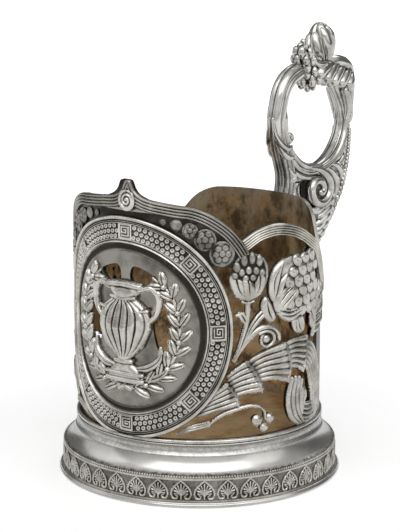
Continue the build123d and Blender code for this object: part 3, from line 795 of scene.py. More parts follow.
grain_die = bead_die("grain_die", [(0.33, -0.1), (0.34, 0.1), (0.26, 0.26), (0.1, 0.34)], 8,
                     [1, 0.5, 0.05, 0])
grain_pitch = 2 * math.pi * gallery_radius / grain_count
grain_places = [(i * grain_pitch, grain_z, 0.0) for i in range(grain_count)]
set_row("milgrain", grain_die, grain_places, grain_seat, gallery_radius, cast_finish)
bed_profile = [(37.4, 8.0), (38.6, 8.0), (38.45, 8.2), (38.45, 8.7), (38.6, 8.9), (37.4, 8.9)]
dress(turned("milgrain_bed", bed_profile, oxide=[0.3, 0.3, 0.6, 0.6, 0.4, 0.3]), cast_finish, "bead_wire")

cove = [(38.4 - 3.2 * t - 1.75 * t * (1 - t), 8.9 + 4.2 * t - 1.33 * t * (1 - t))
        for t in np.linspace(0, 1, 25)]
cove_oxide = [max(0.0, 1.0 - i / 6.0) * 0.8 for i in range(25)]
dome_profile = [(36.9, 8.9), *cove, (31.0, 13.1), (31.0, 12.1), (34.2, 12.1), (35.6, 10.6)]
dress(turned("spun_cove", dome_profile, oxide=[0.2, *cove_oxide, 0.3, 0.3, 0.3, 0.3], sharp=50),
      foot_finish, "foot_dome", slot="polished_silver")
collar_hollow = [(34.95 - 0.5 * math.sin(math.pi * t) - 0.1 * t, 13.55 + 2.6 * t)
                 for t in np.linspace(0, 1, 13)]
collar_profile = [(33.2, 13.1), (35.1, 13.1), (35.12, 13.4), *collar_hollow, (34.95, 16.3), (34.85, 16.5),
                  (33.2, 16.5)]
collar_oxide = [0.3, 0.45, 0.1] + [0.28] * 13 + [0.05, 0.3, 0.3]
dress(turned("turned_collar", collar_profile, oxide=collar_oxide), foot_finish, "foot_collar",
      slot="polished_silver")
wire_section = [(34.24, 16.5), *rounded((34.45, 17.1), (0.5, 0.58), -70, 70), (34.24, 17.8)]
dress(turned("wall_wire", wire_section, oxide=[0.4, 0.4] + [0.15] * 6 + [0.4, 0.4]), trim_finish,
      "lower_wall_wire", slot="polished_silver")


# Work on the wall: every piece is a sheet, and the board keeps them all for the oxide
board = Sheet((-42.0, 14.0), (78.0, 92.0))
wall_sheets = {}


def start(name, low, high):
    """New sheet for one piece of the wall."""
    wall_sheets[name] = Sheet(low, high)
    return wall_sheets[name]


# Tulip with its crown of berries
crown = start("tulip_crown", (28.0, 57.0), (43.0, 72.0))
crown.plate([(30.7, 62.5), (31.3, 66.6), (33.2, 68.8), (36.0, 69.2), (38.8, 68.2), (40.3, 65.8),
             (40.4, 62.5), (35.2, 60.5)], 0.35, over=0.6)
crown_berries = [((31.9, 65.5), 3.2), ((34.0, 67.3), 3.6), ((36.3, 67.7), 3.6), ((38.5, 66.9), 3.5),
                 ((31.3, 63.3), 2.2), ((33.2, 64.1), 2.5), ((35.3, 64.5), 2.6), ((37.5, 64.2), 2.5),
                 ((39.4, 63.6), 2.3), ((34.4, 62.4), 2.2), ((36.5, 62.4), 2.2)]
for place, length in crown_berries:
    crown.dome(place, (2.2, length), 1.15, 0.1)
crown.ridge([(40.2, 60.5), (40.8, 63.0), (40.5, 65.6), (39.5, 67.4)], [1.1, 1.0, 0.9, 0.6], 1.0)
cup = start("tulip_cup", (28.0, 54.0), (43.0, 66.0))
cup_petals = [
    ([(37.4, 61.4), (39.3, 63.6), (40.7, 62.0), (40.5, 59.6), (39.2, 57.5), (37.0, 56.3), (35.6, 56.2),
      (36.0, 59.0)], 0.95, 0.1),
    ([(30.0, 63.3), (31.4, 62.6), (33.2, 62.2), (34.6, 60.5), (34.8, 57.8), (34.6, 56.1), (32.6, 56.7),
      (31.0, 58.3), (30.0, 60.8)], 0.95, 0.1),
    ([(33.3, 61.8), (34.4, 62.3), (35.7, 61.8), (37.0, 60.2), (37.3, 58.2), (36.6, 56.5), (35.2, 55.9),
      (34.0, 56.6), (33.3, 59.0)], 1.0, 0.3),
]
for outline, rise, base in cup_petals:
    cup.plate(outline, rise, base, over=1.5)
for path in ([(31.8, 61.9), (32.4, 59.6), (33.8, 57.2)], [(35.1, 61.8), (35.3, 59.4), (35.4, 57.2)],
             [(38.8, 62.4), (38.4, 59.6), (37.2, 57.4)]):
    cup.groove(path, [0.7, 0.5, 0.25], [0.5, 0.3, 0.1])
cup.ridge([(33.6, 55.9), (35.2, 55.5), (36.8, 55.9)], 0.9, 0.9)
stem = start("tulip_stem", (28.0, 37.0), (40.0, 58.0))
stem.ridge([(35.2, 56.2), (35.2, 53.4), (34.8, 50.0), (33.8, 46.6), (32.5, 43.0), (31.0, 39.8)],
           [1.7, 1.5, 1.4, 1.2, 1.0, 0.8], [0.8, 0.9, 0.9, 0.85, 0.8, 0.6])
stem.ridge([(34.8, 49.4), (33.6, 50.8), (32.7, 52.2), (31.7, 52.3)], [0.9, 1.2, 1.4, 0.9], 0.85)
stem.ridge([(34.7, 50.6), (33.9, 52.4), (32.4, 53.0)], [0.8, 1.1, 0.7], 0.75)

# Cone flower: overlapping scales, fluted sepals and calyx
cone = start("cone_flower", (38.0, 43.0), (66.0, 69.0))
cone_outline = [(43.2, 62.0), (42.6, 58.0), (43.2, 54.5), (45.5, 51.1), (48.5, 49.5), (52.0, 49.9),
                (56.0, 50.9), (59.5, 52.8), (62.0, 56.0), (62.8, 59.5), (61.8, 63.0), (59.5, 65.2),
                (56.0, 66.3), (52.0, 66.8), (48.5, 66.3), (45.5, 65.5)]
cone.plate(cone_outline, 0.95, over=4.0)
for j in range(7):
    for i in range(-3, 6):
        place = (48.4 + 3.6 * i + 1.85 * j, 64.9 + 0.12 * i - 2.75 * j)
        if 46.0 < place[0] < 62.2 and 50.8 < place[1] < 66.0 and place[0] - 0.5 * (place[1] - 50.0) > 43.0:
            lift = 0.95 - 0.006 * ((place[0] - 53.0) ** 2 + (place[1] - 58.0) ** 2)
            grain = (4.3 + 0.5 * math.sin(3 * i + 5 * j), 3.5 + 0.4 * math.cos(2 * i - 3 * j))
            cone.dome(place, grain, 0.85, max(lift, 0.1), turn=-35.0 + 14 * math.sin(4 * i + j), crown=0.42)
            cone.groove([(place[0] - 0.6, place[1] + 0.5), (place[0] + 0.9, place[1] - 0.8)], 0.8, 0.14)
sepals = [
    ([(42.4, 55.0), (41.6, 58.0), (41.8, 61.2), (43.0, 63.8), (44.9, 65.6), (47.0, 66.3), (46.0, 63.6),
      (45.3, 61.0), (44.6, 58.2), (43.8, 55.6)], 1.2, 0.2),
    ([(43.4, 56.0), (44.2, 59.0), (45.6, 61.2), (47.8, 62.5), (47.6, 60.8), (46.6, 58.6), (45.6, 56.4)],
     1.1, 0.5),
    ([(43.2, 52.6), (46.0, 49.8), (49.5, 48.4), (53.2, 49.4), (56.6, 51.6), (54.6, 52.6), (51.0, 52.2),
      (47.0, 53.0), (44.4, 54.6)], 1.15, 0.2),
    ([(42.7, 55.4), (44.6, 57.8), (47.6, 58.5), (50.8, 58.1), (52.0, 56.8), (50.4, 54.6), (47.6, 52.4),
      (45.2, 51.4), (43.2, 52.6)], 1.0, 0.75),
    ([(50.2, 48.6), (51.2, 45.6), (53.2, 44.4), (55.5, 44.6), (56.0, 47.0), (54.6, 49.6), (52.0, 49.6)],
     1.0, 0.1),
    ([(40.2, 56.6), (39.1, 54.2), (40.0, 51.0), (42.3, 49.2), (43.9, 50.2), (43.3, 53.0), (41.8, 55.8)],
     1.1, 0.1),
]
for outline, rise, base in sepals:
    cone.plate(outline, rise, base, over=1.3)
for path in ([(44.6, 54.6), (47.0, 56.8), (49.4, 58.0)], [(45.6, 53.4), (48.2, 55.2), (50.8, 57.0)],
             [(46.0, 56.9), (47.4, 57.7), (48.4, 58.3)], [(47.2, 53.1), (49.0, 54.4), (50.4, 55.6)],
             [(45.6, 50.8), (49.6, 50.0), (53.4, 50.8)], [(44.8, 52.4), (48.6, 51.2), (51.6, 51.4)],
             [(42.9, 57.4), (43.2, 61.0), (45.0, 64.4)], [(52.4, 48.6), (53.2, 46.2), (54.2, 44.9)],
             [(51.4, 48.2), (51.8, 46.4), (52.4, 45.2)], [(40.8, 55.0), (41.4, 52.4), (42.4, 50.4)]):
    cone.groove(path, [0.35, 0.6, 0.4], [0.25, 0.6, 0.3])

# Stems and scroll
twig = start("cone_stem", (29.0, 37.0), (44.0, 57.0))
twig.ridge([(41.6, 53.0), (39.2, 51.4), (37.0, 49.2), (35.0, 46.2), (33.2, 42.8), (31.6, 39.6)],
           [2.6, 2.3, 1.9, 1.5, 1.1, 0.8], [0.9, 0.9, 0.85, 0.8, 0.75, 0.6])
twig.groove([(41.0, 53.2), (38.8, 51.5), (36.6, 49.1), (34.7, 46.1)], [0.7, 0.7, 0.6, 0.4],
            [0.5, 0.55, 0.45, 0.2])
scroll = start("scroll_leaf", (29.0, 37.0), (48.0, 51.0))
scroll.ridge([(31.2, 39.6), (33.4, 43.0), (35.9, 45.9), (38.6, 47.6), (41.3, 48.0), (43.7, 47.2),
              (45.1, 45.6), (45.4, 44.0)], [0.8, 1.2, 1.6, 1.8, 1.9, 1.8, 1.4, 0.9], 0.9)
scroll.groove([(35.0, 44.6), (38.4, 47.0), (41.2, 47.5), (43.4, 46.8), (44.8, 45.0)], 0.5,
              [0.2, 0.4, 0.4, 0.35, 0.2])
scroll.ridge([(38.8, 46.6), (41.2, 47.0), (43.1, 46.2), (43.7, 44.5), (42.7, 43.1), (41.0, 42.7),
              (39.6, 43.5), (39.3, 44.8)], [0.8, 1.1, 1.2, 1.2, 1.1, 1.0, 0.9, 0.7], 0.75)
scroll.dome((41.1, 44.8), 2.3, 0.95)
scroll.plate([(39.2, 43.4), (41.0, 42.9), (43.0, 43.6), (43.2, 45.6), (41.4, 46.8), (39.4, 45.8)], 0.25,
             over=0.5)

# Fan leaf: tiers of flutes that step out of one another, then the long curling end
fan = start("fan_leaf", (12.0, 16.0), (70.0, 46.0))
fan_tiers = [
    ([(14.5, 18.6), (19.2, 20.2), (24.1, 21.9)], [(17.5, 20.9), (20.8, 22.5), (23.9, 23.2)], 3, 0.3,
     (0.05, 0.45)),
    ([(20.5, 23.6), (26.5, 25.6), (32.2, 27.3)], [(25.0, 30.6), (26.8, 32.0), (28.6, 33.3)], 5, 0.7,
     (0.0, 0.55)),
    ([(30.2, 28.6), (35.0, 30.0), (39.2, 30.5)], [(29.4, 36.2), (32.0, 38.1), (34.5, 39.0)], 6, 0.8,
     (0.0, 0.55)),
    ([(38.6, 32.6), (43.3, 32.9), (48.2, 32.0)], [(34.4, 39.2), (40.0, 41.6), (46.9, 42.5)], 6, 1.5,
     (0.0, 0.6)),
    ([(49.0, 34.6), (52.3, 34.6), (54.8, 33.6)], [(47.4, 42.9), (52.0, 43.5), (56.3, 42.9)], 6, 1.0,
     (0.0, 0.55)),
    ([(56.2, 34.6), (58.1, 32.2), (59.4, 29.0), (60.2, 25.2)],
     [(56.6, 42.7), (62.4, 39.8), (66.0, 33.0), (66.6, 25.4)], 6, 0.0, (0.0, 0.3)),
]
# fan_shade: painted shade at the start of each tier, where it sets out under the flared end of the tier
# before.
fan_shade = np.zeros(fan.u.shape)
for low_edge, high_edge, count, bulge, (from_base, to_base) in fan_tiers:
    low_line = np.array(low_edge)
    high_line = np.array(high_edge)
    across = (high_line - low_line) * np.linspace(0.05, -0.03, len(low_line))[:, None]
    low_line = low_line + across
    high_line = high_line - across
    fan.plate(np.vstack([smooth_line(low_line), smooth_line(high_line)[::-1]]), 0.2, from_base * 0.5,
              over=0.4, smooth=False)
    tips = [low_line[-1]]
    for i in range(count):
        share = (i + 0.5) / count
        line = low_line + (high_line - low_line) * share
        heading = (line[-1] - line[-2]) / np.linalg.norm(line[-1] - line[-2])
        line[-1] += heading * bulge * math.sin(math.pi * share)
        tips.append(line[-1])
        gap = np.linalg.norm(high_line - low_line, axis=1) / count
        widths = np.interp([0, 0.5, 0.85, 1], np.linspace(0, 1, len(gap)), gap) * [0.7, 0.76, 0.85, 1.05]
        fan.ridge(line, widths, [0.4, 0.5, 0.6, 0.7], [from_base, to_base * 0.4, to_base * 0.8, to_base],
                  crown=0.6)
        window, place, off, _ = fan.along(line, widths)
        shade = np.where(off < 1.4, np.clip(1 - place / 0.22, 0, 1) * 0.35, 0)
        fan_shade[window] = np.maximum(fan_shade[window], shade)
    if bulge > 0:
        fan.ridge(tips + [high_line[-1]], 0.55, 0.35, to_base + 0.45)
fan_end = [
    ([(60.6, 25.6), (61.2, 22.6), (62.0, 20.6), (60.0, 19.4)], 1.3),
    ([(62.0, 25.4), (62.6, 22.2), (62.4, 19.6), (59.6, 18.7)], 1.3),
    ([(63.3, 25.4), (63.8, 21.8), (62.8, 18.9), (59.4, 18.2)], 1.4),
    ([(64.5, 25.4), (64.8, 21.6), (63.4, 18.5)], 1.4),
    ([(65.8, 25.4), (65.8, 21.6), (64.2, 18.6)], 1.4),
]
for path, width in fan_end:
    fan.ridge(path, [width, width, width, 0.8], [0.6, 0.6, 0.55, 0.4], 0.15, crown=0.6)
curl = start("curl_leaf", (46.0, 15.5), (69.0, 34.0))
curl_ribs = [
    ([(50.8, 31.8), (49.5, 28.0), (49.4, 24.4), (50.8, 20.8), (53.6, 18.4)], [1.4, 1.8, 1.9, 1.7, 1.0], 0.75),
    ([(52.3, 31.9), (51.3, 28.0), (51.2, 24.4), (52.4, 20.9), (54.8, 18.5)], [1.3, 1.8, 1.9, 1.7, 1.0], 0.85),
    ([(53.9, 31.6), (53.0, 28.6), (52.8, 25.0), (53.7, 21.6), (55.9, 18.6)], [1.2, 1.7, 1.8, 1.6, 1.0], 0.9),
    ([(55.4, 30.6), (54.6, 28.4), (54.2, 26.0)], [0.9, 1.4, 1.2], 0.75),
    ([(55.4, 24.0), (58.6, 22.9), (61.6, 23.2)], [1.0, 1.3, 0.9], 0.7),
    ([(55.0, 22.6), (58.4, 21.6), (61.6, 21.8)], [1.1, 1.3, 1.0], 0.75),
    ([(55.2, 21.2), (58.4, 20.3), (61.2, 20.5)], [1.1, 1.3, 1.0], 0.75),
    ([(55.6, 19.8), (58.4, 19.1), (61.0, 19.4)], [1.1, 1.3, 1.0], 0.7),
    ([(55.8, 18.6), (58.6, 18.2), (60.6, 18.5)], [1.0, 1.2, 0.9], 0.6),
]
for path, width, rise in curl_ribs:
    curl.ridge(path, width, rise, crown=0.6)
curl.plate([(53.6, 22.4), (53.7, 26.2), (55.2, 28.4), (57.0, 27.9), (57.6, 25.6), (56.4, 23.6),
            (55.6, 20.8), (54.6, 20.4)], 0.95, 0.15, over=1.3)
curl.groove([(55.8, 27.4), (55.3, 25.0), (55.0, 22.4)], [0.4, 0.6, 0.4], [0.2, 0.4, 0.3])

# Berry sprig and the leaf behind the flower
sprig = start("sprig_stem", (22.0, 18.0), (44.0, 30.0))
sprig.ridge([(23.6, 21.7), (28.0, 24.7), (32.0, 26.0), (35.5, 26.6), (38.4, 26.2), (40.4, 24.6),
             (40.7, 22.4)], [0.8, 1.2, 1.3, 1.2, 1.0, 0.8, 0.7], 0.8)
berries = start("sprig_berries", (34.0, 17.0), (47.0, 26.0))
for place, size in (((38.2, 22.2), 3.3), ((42.3, 22.3), 2.9), ((40.4, 19.9), 2.7)):
    berries.dome(place, size, 1.2)
    berries.dome((place[0] - 0.2, place[1] + 0.5), size * 0.35, 0.3, 0.95)
leaf = start("side_leaf", (57.0, 40.0), (72.6, 60.0))
leaf.ridge([(61.2, 42.4), (62.4, 46.5), (63.6, 50.5), (64.4, 55.6)], [1.6, 1.4, 1.2, 0.8], 0.9)
leaf_lobes = [
    ([(61.8, 44.0), (60.2, 46.0), (59.8, 48.6)], 2.0),
    ([(62.4, 46.4), (61.2, 49.0), (61.0, 52.0)], 2.0),
    ([(63.4, 50.0), (62.4, 52.6), (62.6, 55.6)], 1.8),
    ([(61.6, 43.0), (64.8, 43.6), (67.2, 45.6)], 2.2),
    ([(62.2, 45.6), (65.2, 46.8), (67.2, 49.6)], 2.1),
    ([(63.2, 49.2), (65.4, 50.8), (66.8, 53.6)], 2.0),
    ([(63.8, 52.2), (65.4, 54.0), (66.2, 56.6)], 1.7),
    ([(63.4, 44.4), (67.6, 45.4), (70.6, 48.0)], 2.6),
    ([(64.0, 47.6), (68.0, 48.8), (71.0, 52.0)], 2.6),
    ([(64.6, 51.4), (68.0, 53.0), (70.6, 56.4)], 2.5),
]
for path, width in leaf_lobes:
    leaf.ridge(path, [width * 0.6, width, width * 0.5], [0.8, 1.3, 0.7], crown=0.6)

# Berry roundels in the spandrels, from the finial down to the cusp
roundels = start("spandrel_roundels", (9.0, 64.0), (33.0, 81.0))
for place, size in (((11.5, 78.0), 1.8), ((15.2, 77.3), 3.2), ((19.0, 75.9), 4.2), ((23.1, 73.4), 5.9),
                    ((27.7, 69.5), 6.9)):
    boss_rise = min(0.25 * size, 0.8)
    roundels.dome(place, size, boss_rise, 0.15, crown=0.6)
    if size < 4.0:
        continue
    ring = [(place[0] + (size / 2 - 0.25) * math.cos(a), place[1] + (size / 2 - 0.25) * math.sin(a))
            for a in np.linspace(0, 2 * math.pi, 16, endpoint=False)]
    roundels.ridge(ring, 0.6, 0.3, 0.3, closed=True)
    grain = 1.7 if size > 5.0 else 1.3
    for j in range(-3, 4):
        for i in range(-3, 4):
            spot = np.array([grain * (i + 0.5 * (j % 2)), grain * 0.87 * j])
            off = math.hypot(*spot) / (size / 2)
            if off < 1 - (0.35 + grain * 0.3) / (size / 2):
                spot += [0.16 * math.sin(5 * i + 3 * j), 0.16 * math.cos(4 * i + 7 * j)]
                roundels.dome(place + spot, grain * 1.08, 0.4, 0.1 + boss_rise * (1 - off ** 2) ** 0.6)

# Finial: reeds that rise along its edge to the tip, and a boss with a spiral
finial_side = [(1.8, 88.45), (2.3, 87.5), (2.9, 86.2), (4.2, 84.9), (6.2, 84.0)]
right_slope = [finial_tip] + finial_side + [(8.6, 83.45)]
left_slope = [finial_tip] + [(2 * finial_tip[0] - s, z) for s, z in finial_side] + [(-8.2, 83.5)]
finial_outline = (list(smooth_line(left_slope)[::-1]) + list(smooth_line(right_slope)[1:])
                  + [(8.6, 80.15), (-8.2, 80.2)])


def reed_height(share, count=rim_reeds):
    """Height of the reeded moulding across its width, 0 at the rim edge and 1 at its lower edge."""
    wave = np.abs(np.sin(math.pi * count * np.clip(share, 0, 1))) ** 0.7
    return 0.45 + 0.5 * wave + 0.12 * np.sin(math.pi * np.clip(share, 0, 1))


finial = start("rim_finial", (-9.0, 78.0), (10.0, 90.0))
window, edge = finial.distance(finial_outline, smooth=False)
slopes = np.vstack([smooth_line(left_slope)[::-1], smooth_line(right_slope)[1:]])
spot, _, share, half = finial.along(slopes, 14.0, straight=True)
depth = np.full(finial.u.shape, FAR)
depth[spot] = share * half
finial.lay(window, reed_height(depth[window] / rim_width, front_reeds),
           np.maximum(edge, depth[window] - rim_width - 2.2))
boss = start("finial_boss", (-3.0, 79.0), (5.0, 88.0))
boss_middle = (1.0, 83.2)
boss.dome(boss_middle, (5.2, 5.8), 0.75, 1.05, crown=0.35)
spiral = [(boss_middle[0] + r * math.sin(a), boss_middle[1] + 1.1 * r * math.cos(a))
          for r, a in zip(np.linspace(0.35, 2.0, 26), np.linspace(2.6, 2.6 + 3.4 * math.pi, 26))]
boss.groove(spiral, 0.7, 0.55)

# Rim mouldings along the front and the side arches
section_u = np.linspace(0, 1, 41)
groove_tone = 0.65
front_dark = 0.4


def reed_section(name, count, dark):
    """Section of the reeded moulding, as a closed line."""
    heights = reed_height(section_u, count)
    points = [(rim_width * t, -h, 0.0) for t, h in zip(section_u, heights)]
    tone = np.clip(groove_tone * (1.1 - heights) + dark, 0, 1)
    back = [(rim_width, 0.02, 0.0), (0.0, 0.02, 0.0)]
    return line_of(name, points + back, closed=True, oxide=[*tone, 1.0, 1.0])


front_section = reed_section("front_section", front_reeds, front_dark)
arch_section = reed_section("arch_section", rim_reeds, 0.0)


def rim_run(name, edge_points, node, side, section, finish):
    """One stretch of reeded moulding, on one side; its reeds follow the rim edge."""
    line = smooth_line(edge_points, step=0.8)
    if side < 0:
        line = line[::-1] * np.array([-1.0, 1.0])
    path = line_of(name, [(s, z, 0.0) for s, z in line])
    run = run_tree(name, reeds, path, section=section, wall_radius=seat * MM, unroll_radius=unroll * MM,
                   material=finish)
    return dress(run, finish, node)


for side, word in ((1, "right"), (-1, "left")):
    rim_run("front_reeding_" + word, front_edge + [(35.4, 69.6)], "rim_moulding_" + word, side,
            front_section, rim_finish)
    rim_run("arch_reeding_" + word, arch_edge, "rim_arch_" + word, side, arch_section, trim_finish)
for section in (front_section, arch_section):
    bpy.data.objects.remove(section)

# Medallion: bezels, frieze, key plaques and the pierced field
bands = {
    "medallion_bezel": (trim_finish, (0.45, 1.0), [
        (29.3, 0.45), (29.42, 0.75), (29.56, 0.78), (29.7, 0.45), (29.82, 0.5), (30.0, 0.95), (30.3, 1.18),
        (30.6, 1.15), (30.85, 0.9), (31.0, 0.45),
    ]),
    "medallion_frieze": (cast_finish, (0.15, 0.6), [
        (24.26, 0.3), (24.4, 0.6), (24.6, 0.62), (24.8, 0.22), (28.75, 0.22), (28.95, 0.6), (29.1, 0.62),
        (29.26, 0.3),
    ]),
    "medallion_inner_bezel": (trim_finish, (0.35, 0.95), [
        (22.52, 0.32), (22.9, 0.28), (23.2, 0.36), (23.45, 0.7), (23.7, 1.1), (23.9, 1.2), (24.1, 1.0),
        (24.22, 0.5),
    ]),
}
band_segments = 288


def medallion_band(name, finish, tones, profile):
    """Round band of the medallion, turned flat and wrapped on the wall, with oxide in its low parts."""
    line = np.array(profile)
    fine = np.linspace(line[0, 0], line[-1, 0], 4 * len(line))
    heights = np.interp(fine, line[:, 0], line[:, 1])
    low, high = tones
    tone = np.clip((high - heights) / (high - low), 0, 1)
    radius = np.concatenate([[fine[0]], fine, [fine[-1]]])
    height = np.concatenate([[0.0], heights, [0.0]])
    tone = np.concatenate([[1.0], tone, [1.0]])
    turn = np.linspace(0, 2 * math.pi, band_segments, endpoint=False)
    s = np.outer(radius, np.sin(turn))
    z = medallion_z + np.outer(radius, np.cos(turn))
    z = np.maximum(z, wall_foot + wire_height)
    points = on_wall(s, z, np.outer(height, np.ones(band_segments))).reshape(-1, 3)
    faces = ring_faces(len(radius), band_segments, True)
    piece = build_mesh(name + "_band", points, [faces], {"oxide": np.repeat(tone, band_segments)})
    dress(piece, finish, name)


for name, (finish, tones, profile) in bands.items():
    medallion_band(name, finish, tones, profile)

frieze_die = bead_die("frieze_die", [(0.78, -0.05), (0.76, 0.2), (0.6, 0.42), (0.36, 0.46), (0.12, 0.30)],
                      9, [0.9, 0.6, 0.05, 0.05, 0.6])
frieze_rows = (25.35, 26.75, 28.15)
frieze_columns = 10
frieze_margin = 0.118
sector_count = 8
sector_turn = 2 * math.pi / sector_count
bead_places = []
for sector in range(sector_count):
    for row, radius in enumerate(frieze_rows):
        for column in range(frieze_columns):
            share = (column + 0.5 * (row % 2) + 0.25) / frieze_columns
            turn = (sector + frieze_margin + (1 - 2 * frieze_margin) * share) * sector_turn
            bead_places.append((radius * math.sin(turn), medallion_z + radius * math.cos(turn), 0.2))
set_row("frieze_beads", frieze_die, bead_places, seat, unroll, trim_finish)

# Square key plaques, drawn upright and turned to face the medallion's middle
plaque = Sheet((-2.4, -2.4), (2.4, 2.4), 0.1)
plaque_middle = 26.76
plaque.plate([(-2.2, -2.2), (2.2, -2.2), (2.2, 2.2), (-2.2, 2.2)], 0.22, 0.3, over=0.2, smooth=False)
border = [(-1.92, -1.92), (1.92, -1.92), (1.92, 1.92), (-1.92, 1.92), (-1.92, -1.92)]
key = [(-1.1, -1.15), (1.15, -1.15), (1.15, 1.15), (-1.15, 1.15), (-1.15, -0.35), (0.35, -0.35),
       (0.35, 0.4), (-0.3, 0.4)]
plaque.ridge(border, 0.55, 0.42, 0.4, straight=True, crown=0.35)
plaque.ridge(key, 0.5, 0.42, 0.4, straight=True, crown=0.35)
plaque_tone = hollows(plaque, 0.3)


def plaque_place(turn):
    """Where one plaque lies on the wall."""
    c, s = math.cos(turn), math.sin(turn)

    def place(u, v, h):
        out = plaque_middle + v
        return on_wall(out * s + u * c, medallion_z + out * c - u * s, h)
    return place


for i in range(sector_count):
    piece = cast("key_plaque_" + str(i + 1), plaque, plaque_place(i * sector_turn), 0.1, plaque_tone)
    dress(piece, trim_finish, *(["key_plaques"] if i == 0 else []))

field_windows = [
    [(-16.5, 4.0), (-12.0, 9.5), (-8.5, 3.0), (-10.5, -6.0), (-15.0, -5.5)],
    [(-4.5, 11.5), (-9.0, 15.0), (-3.0, 17.5), (-1.5, 14.0)],
    [(-5.5, -9.5), (-12.5, -9.5), (-9.5, -14.0), (-5.0, -14.5)],
]


def on_field(points, flip=1):
    """Outline from the medallion's middle."""
    return [(flip * s, medallion_z + h) for s, h in points]


ground = Sheet((-23.0, 24.0), (23.0, 71.0), 0.3)
reach = medallion_distance(ground)
dish_edge = 21.5
dish = 0.34 + 0.42 * np.clip(reach / dish_edge, 0, 1) ** 6
channel = np.clip((reach - dish_edge) / 0.7, 0, 1)
dish = dish - 0.46 * channel ** 0.7
ground.lay((slice(None), slice(None)), dish, reach - field_reach)
for outline in field_windows:
    for flip in (1, -1):
        ground.pierce(on_field(outline, flip))
# Dark channel round the dish, its darkening weaker towards the bottom of the medallion.
channel = channel * np.clip(0.45 + (ground.v - medallion_z + 17.0) / 14.0, 0.45, 1)
piece = cast("medallion_dish", ground, on_wall, 0.02, np.clip(hollows(ground, 0.1) * 0.4 + channel, 0, 1))
dress(piece, field_reflection_finish, "medallion_field")

# Emblem: a fluted two-handled vase on a plinth, between two laurel sprays
vase = start("emblem_vase", (-15.0, 31.0), (15.0, 63.0))
vase_half = [(0.0, 12.6), (4.8, 13.0), (5.4, 11.0), (3.6, 8.8), (7.6, 5.8), (8.4, 0.6), (6.0, -4.8),
             (2.4, -8.0), (2.6, -9.8), (6.0, -12.2), (6.0, -14.8)]
vase_outline = on_field(vase_half) + [(-s, z) for s, z in reversed(on_field(vase_half[1:]))]
for flip in (1, -1):
    for path, width in (([(2.8, -11.2), (7.4, -10.2), (10.6, -7.6), (11.0, -4.4)], [1.4, 2.5, 2.3, 0.8]),
                        ([(4.0, -13.4), (8.6, -13.2), (11.8, -11.4), (13.2, -8.8)], [1.4, 2.4, 2.2, 0.8])):
        vase.ridge(on_field(path, flip), width, [0.7, 1.2, 1.2, 0.6], [0.5, 0.7, 0.8, 0.6])
        vase.groove(on_field(path, flip), [0.4, 0.6, 0.5, 0.3], [0.2, 0.45, 0.4, 0.1])
vase.plate(vase_outline, 1.2, 0.8, over=2.0, smooth=False)
vase.emboss(on_field([(0.0, 7.0), (0.0, 1.0), (0.0, -6.0)]), [9.0, 17.5, 6.5], [0.5, 2.2, 0.6], crown=0.7)
for i in range(-3, 4):
    vase.groove(on_field([(0.85 * i, 8.2), (2.05 * i, 5.2), (2.3 * i, 0.8), (1.6 * i, -4.2),
                          (0.7 * i, -7.5)]), [0.6, 1.0, 1.0, 0.8, 0.5], [0.2, 0.55, 0.55, 0.45, 0.2])
vase.ridge(on_field([(-5.0, 12.1), (0.0, 12.5), (5.0, 12.1)]), 1.8, 1.2, 1.3)
vase.ridge(on_field([(-3.6, 8.9), (0.0, 8.5), (3.6, 8.9)]), 1.1, 0.9, 1.7)
vase.ridge(on_field([(-7.5, 5.8), (0.0, 4.9), (7.5, 5.8)]), 1.0, 0.8, 1.9)
vase.ridge(on_field([(-2.4, -8.9), (0.0, -9.1), (2.4, -8.9)]), 1.4, 1.0, 1.5)
vase.ridge(on_field([(-5.8, -12.5), (5.8, -12.5)]), 1.1, 0.8, 1.5, straight=True)
vase.ridge(on_field([(-5.8, -14.3), (5.8, -14.3)]), 1.3, 0.9, 1.4, straight=True)
for flip in (1, -1):
    vase.ridge(on_field([(4.8, 11.0), (8.4, 12.0), (10.6, 9.2), (9.9, 5.0), (7.4, 2.2)], flip),
               [1.3, 1.8, 1.9, 1.7, 1.3], 1.2, 0.9)
    vase.dome(on_field([(10.4, 10.7)], flip)[0], 2.3, 1.4, 0.9)
sprays = start("emblem_sprays", (-21.0, 27.0), (21.0, 66.0))
spray_leaves = 10
spray_line = smooth_line([(0.6, -16.6), (7.4, -14.8), (12.6, -10.4), (15.8, -3.6), (16.0, 4.0),
                          (13.6, 10.8), (8.8, 15.0)])
for flip in (1, -1):
    sprays.ridge(on_field(spray_line, flip), [1.3, 1.0, 0.6], 0.6, 0.75, straight=True)
    steps = len(spray_line)
    for n in range(spray_leaves):
        i = int((n + 0.6) / (spray_leaves + 0.4) * (steps - 2))
        heading = spray_line[i + 1] - spray_line[i]
        angle = math.degrees(math.atan2(heading[1], heading[0]))
        for lean in (38, -38):
            turn = math.radians(angle + lean)
            length = 5.4 - 0.1 * n
            blade = length * np.array([math.cos(turn), math.sin(turn)])
            place = on_field([spray_line[i] + 0.5 * blade], flip)[0]
            shown = angle + lean if flip > 0 else 180 - angle - lean
            sprays.dome(place, (length, 2.5), 1.25, 0.75, turn=shown, crown=0.6)
            vein = on_field([spray_line[i], spray_line[i] + blade], flip)
            sprays.groove(vein, 0.45, 0.45, straight=True)
        if n % 2 == 1:
            sprays.dome(on_field([spray_line[i] + 0.4 * heading], flip)[0], 1.7, 1.3, 1.0)
sprays.ridge(on_field([(-1.8, -16.9), (0.0, -16.2), (1.8, -16.9)]), 1.4, 0.9, 0.8)

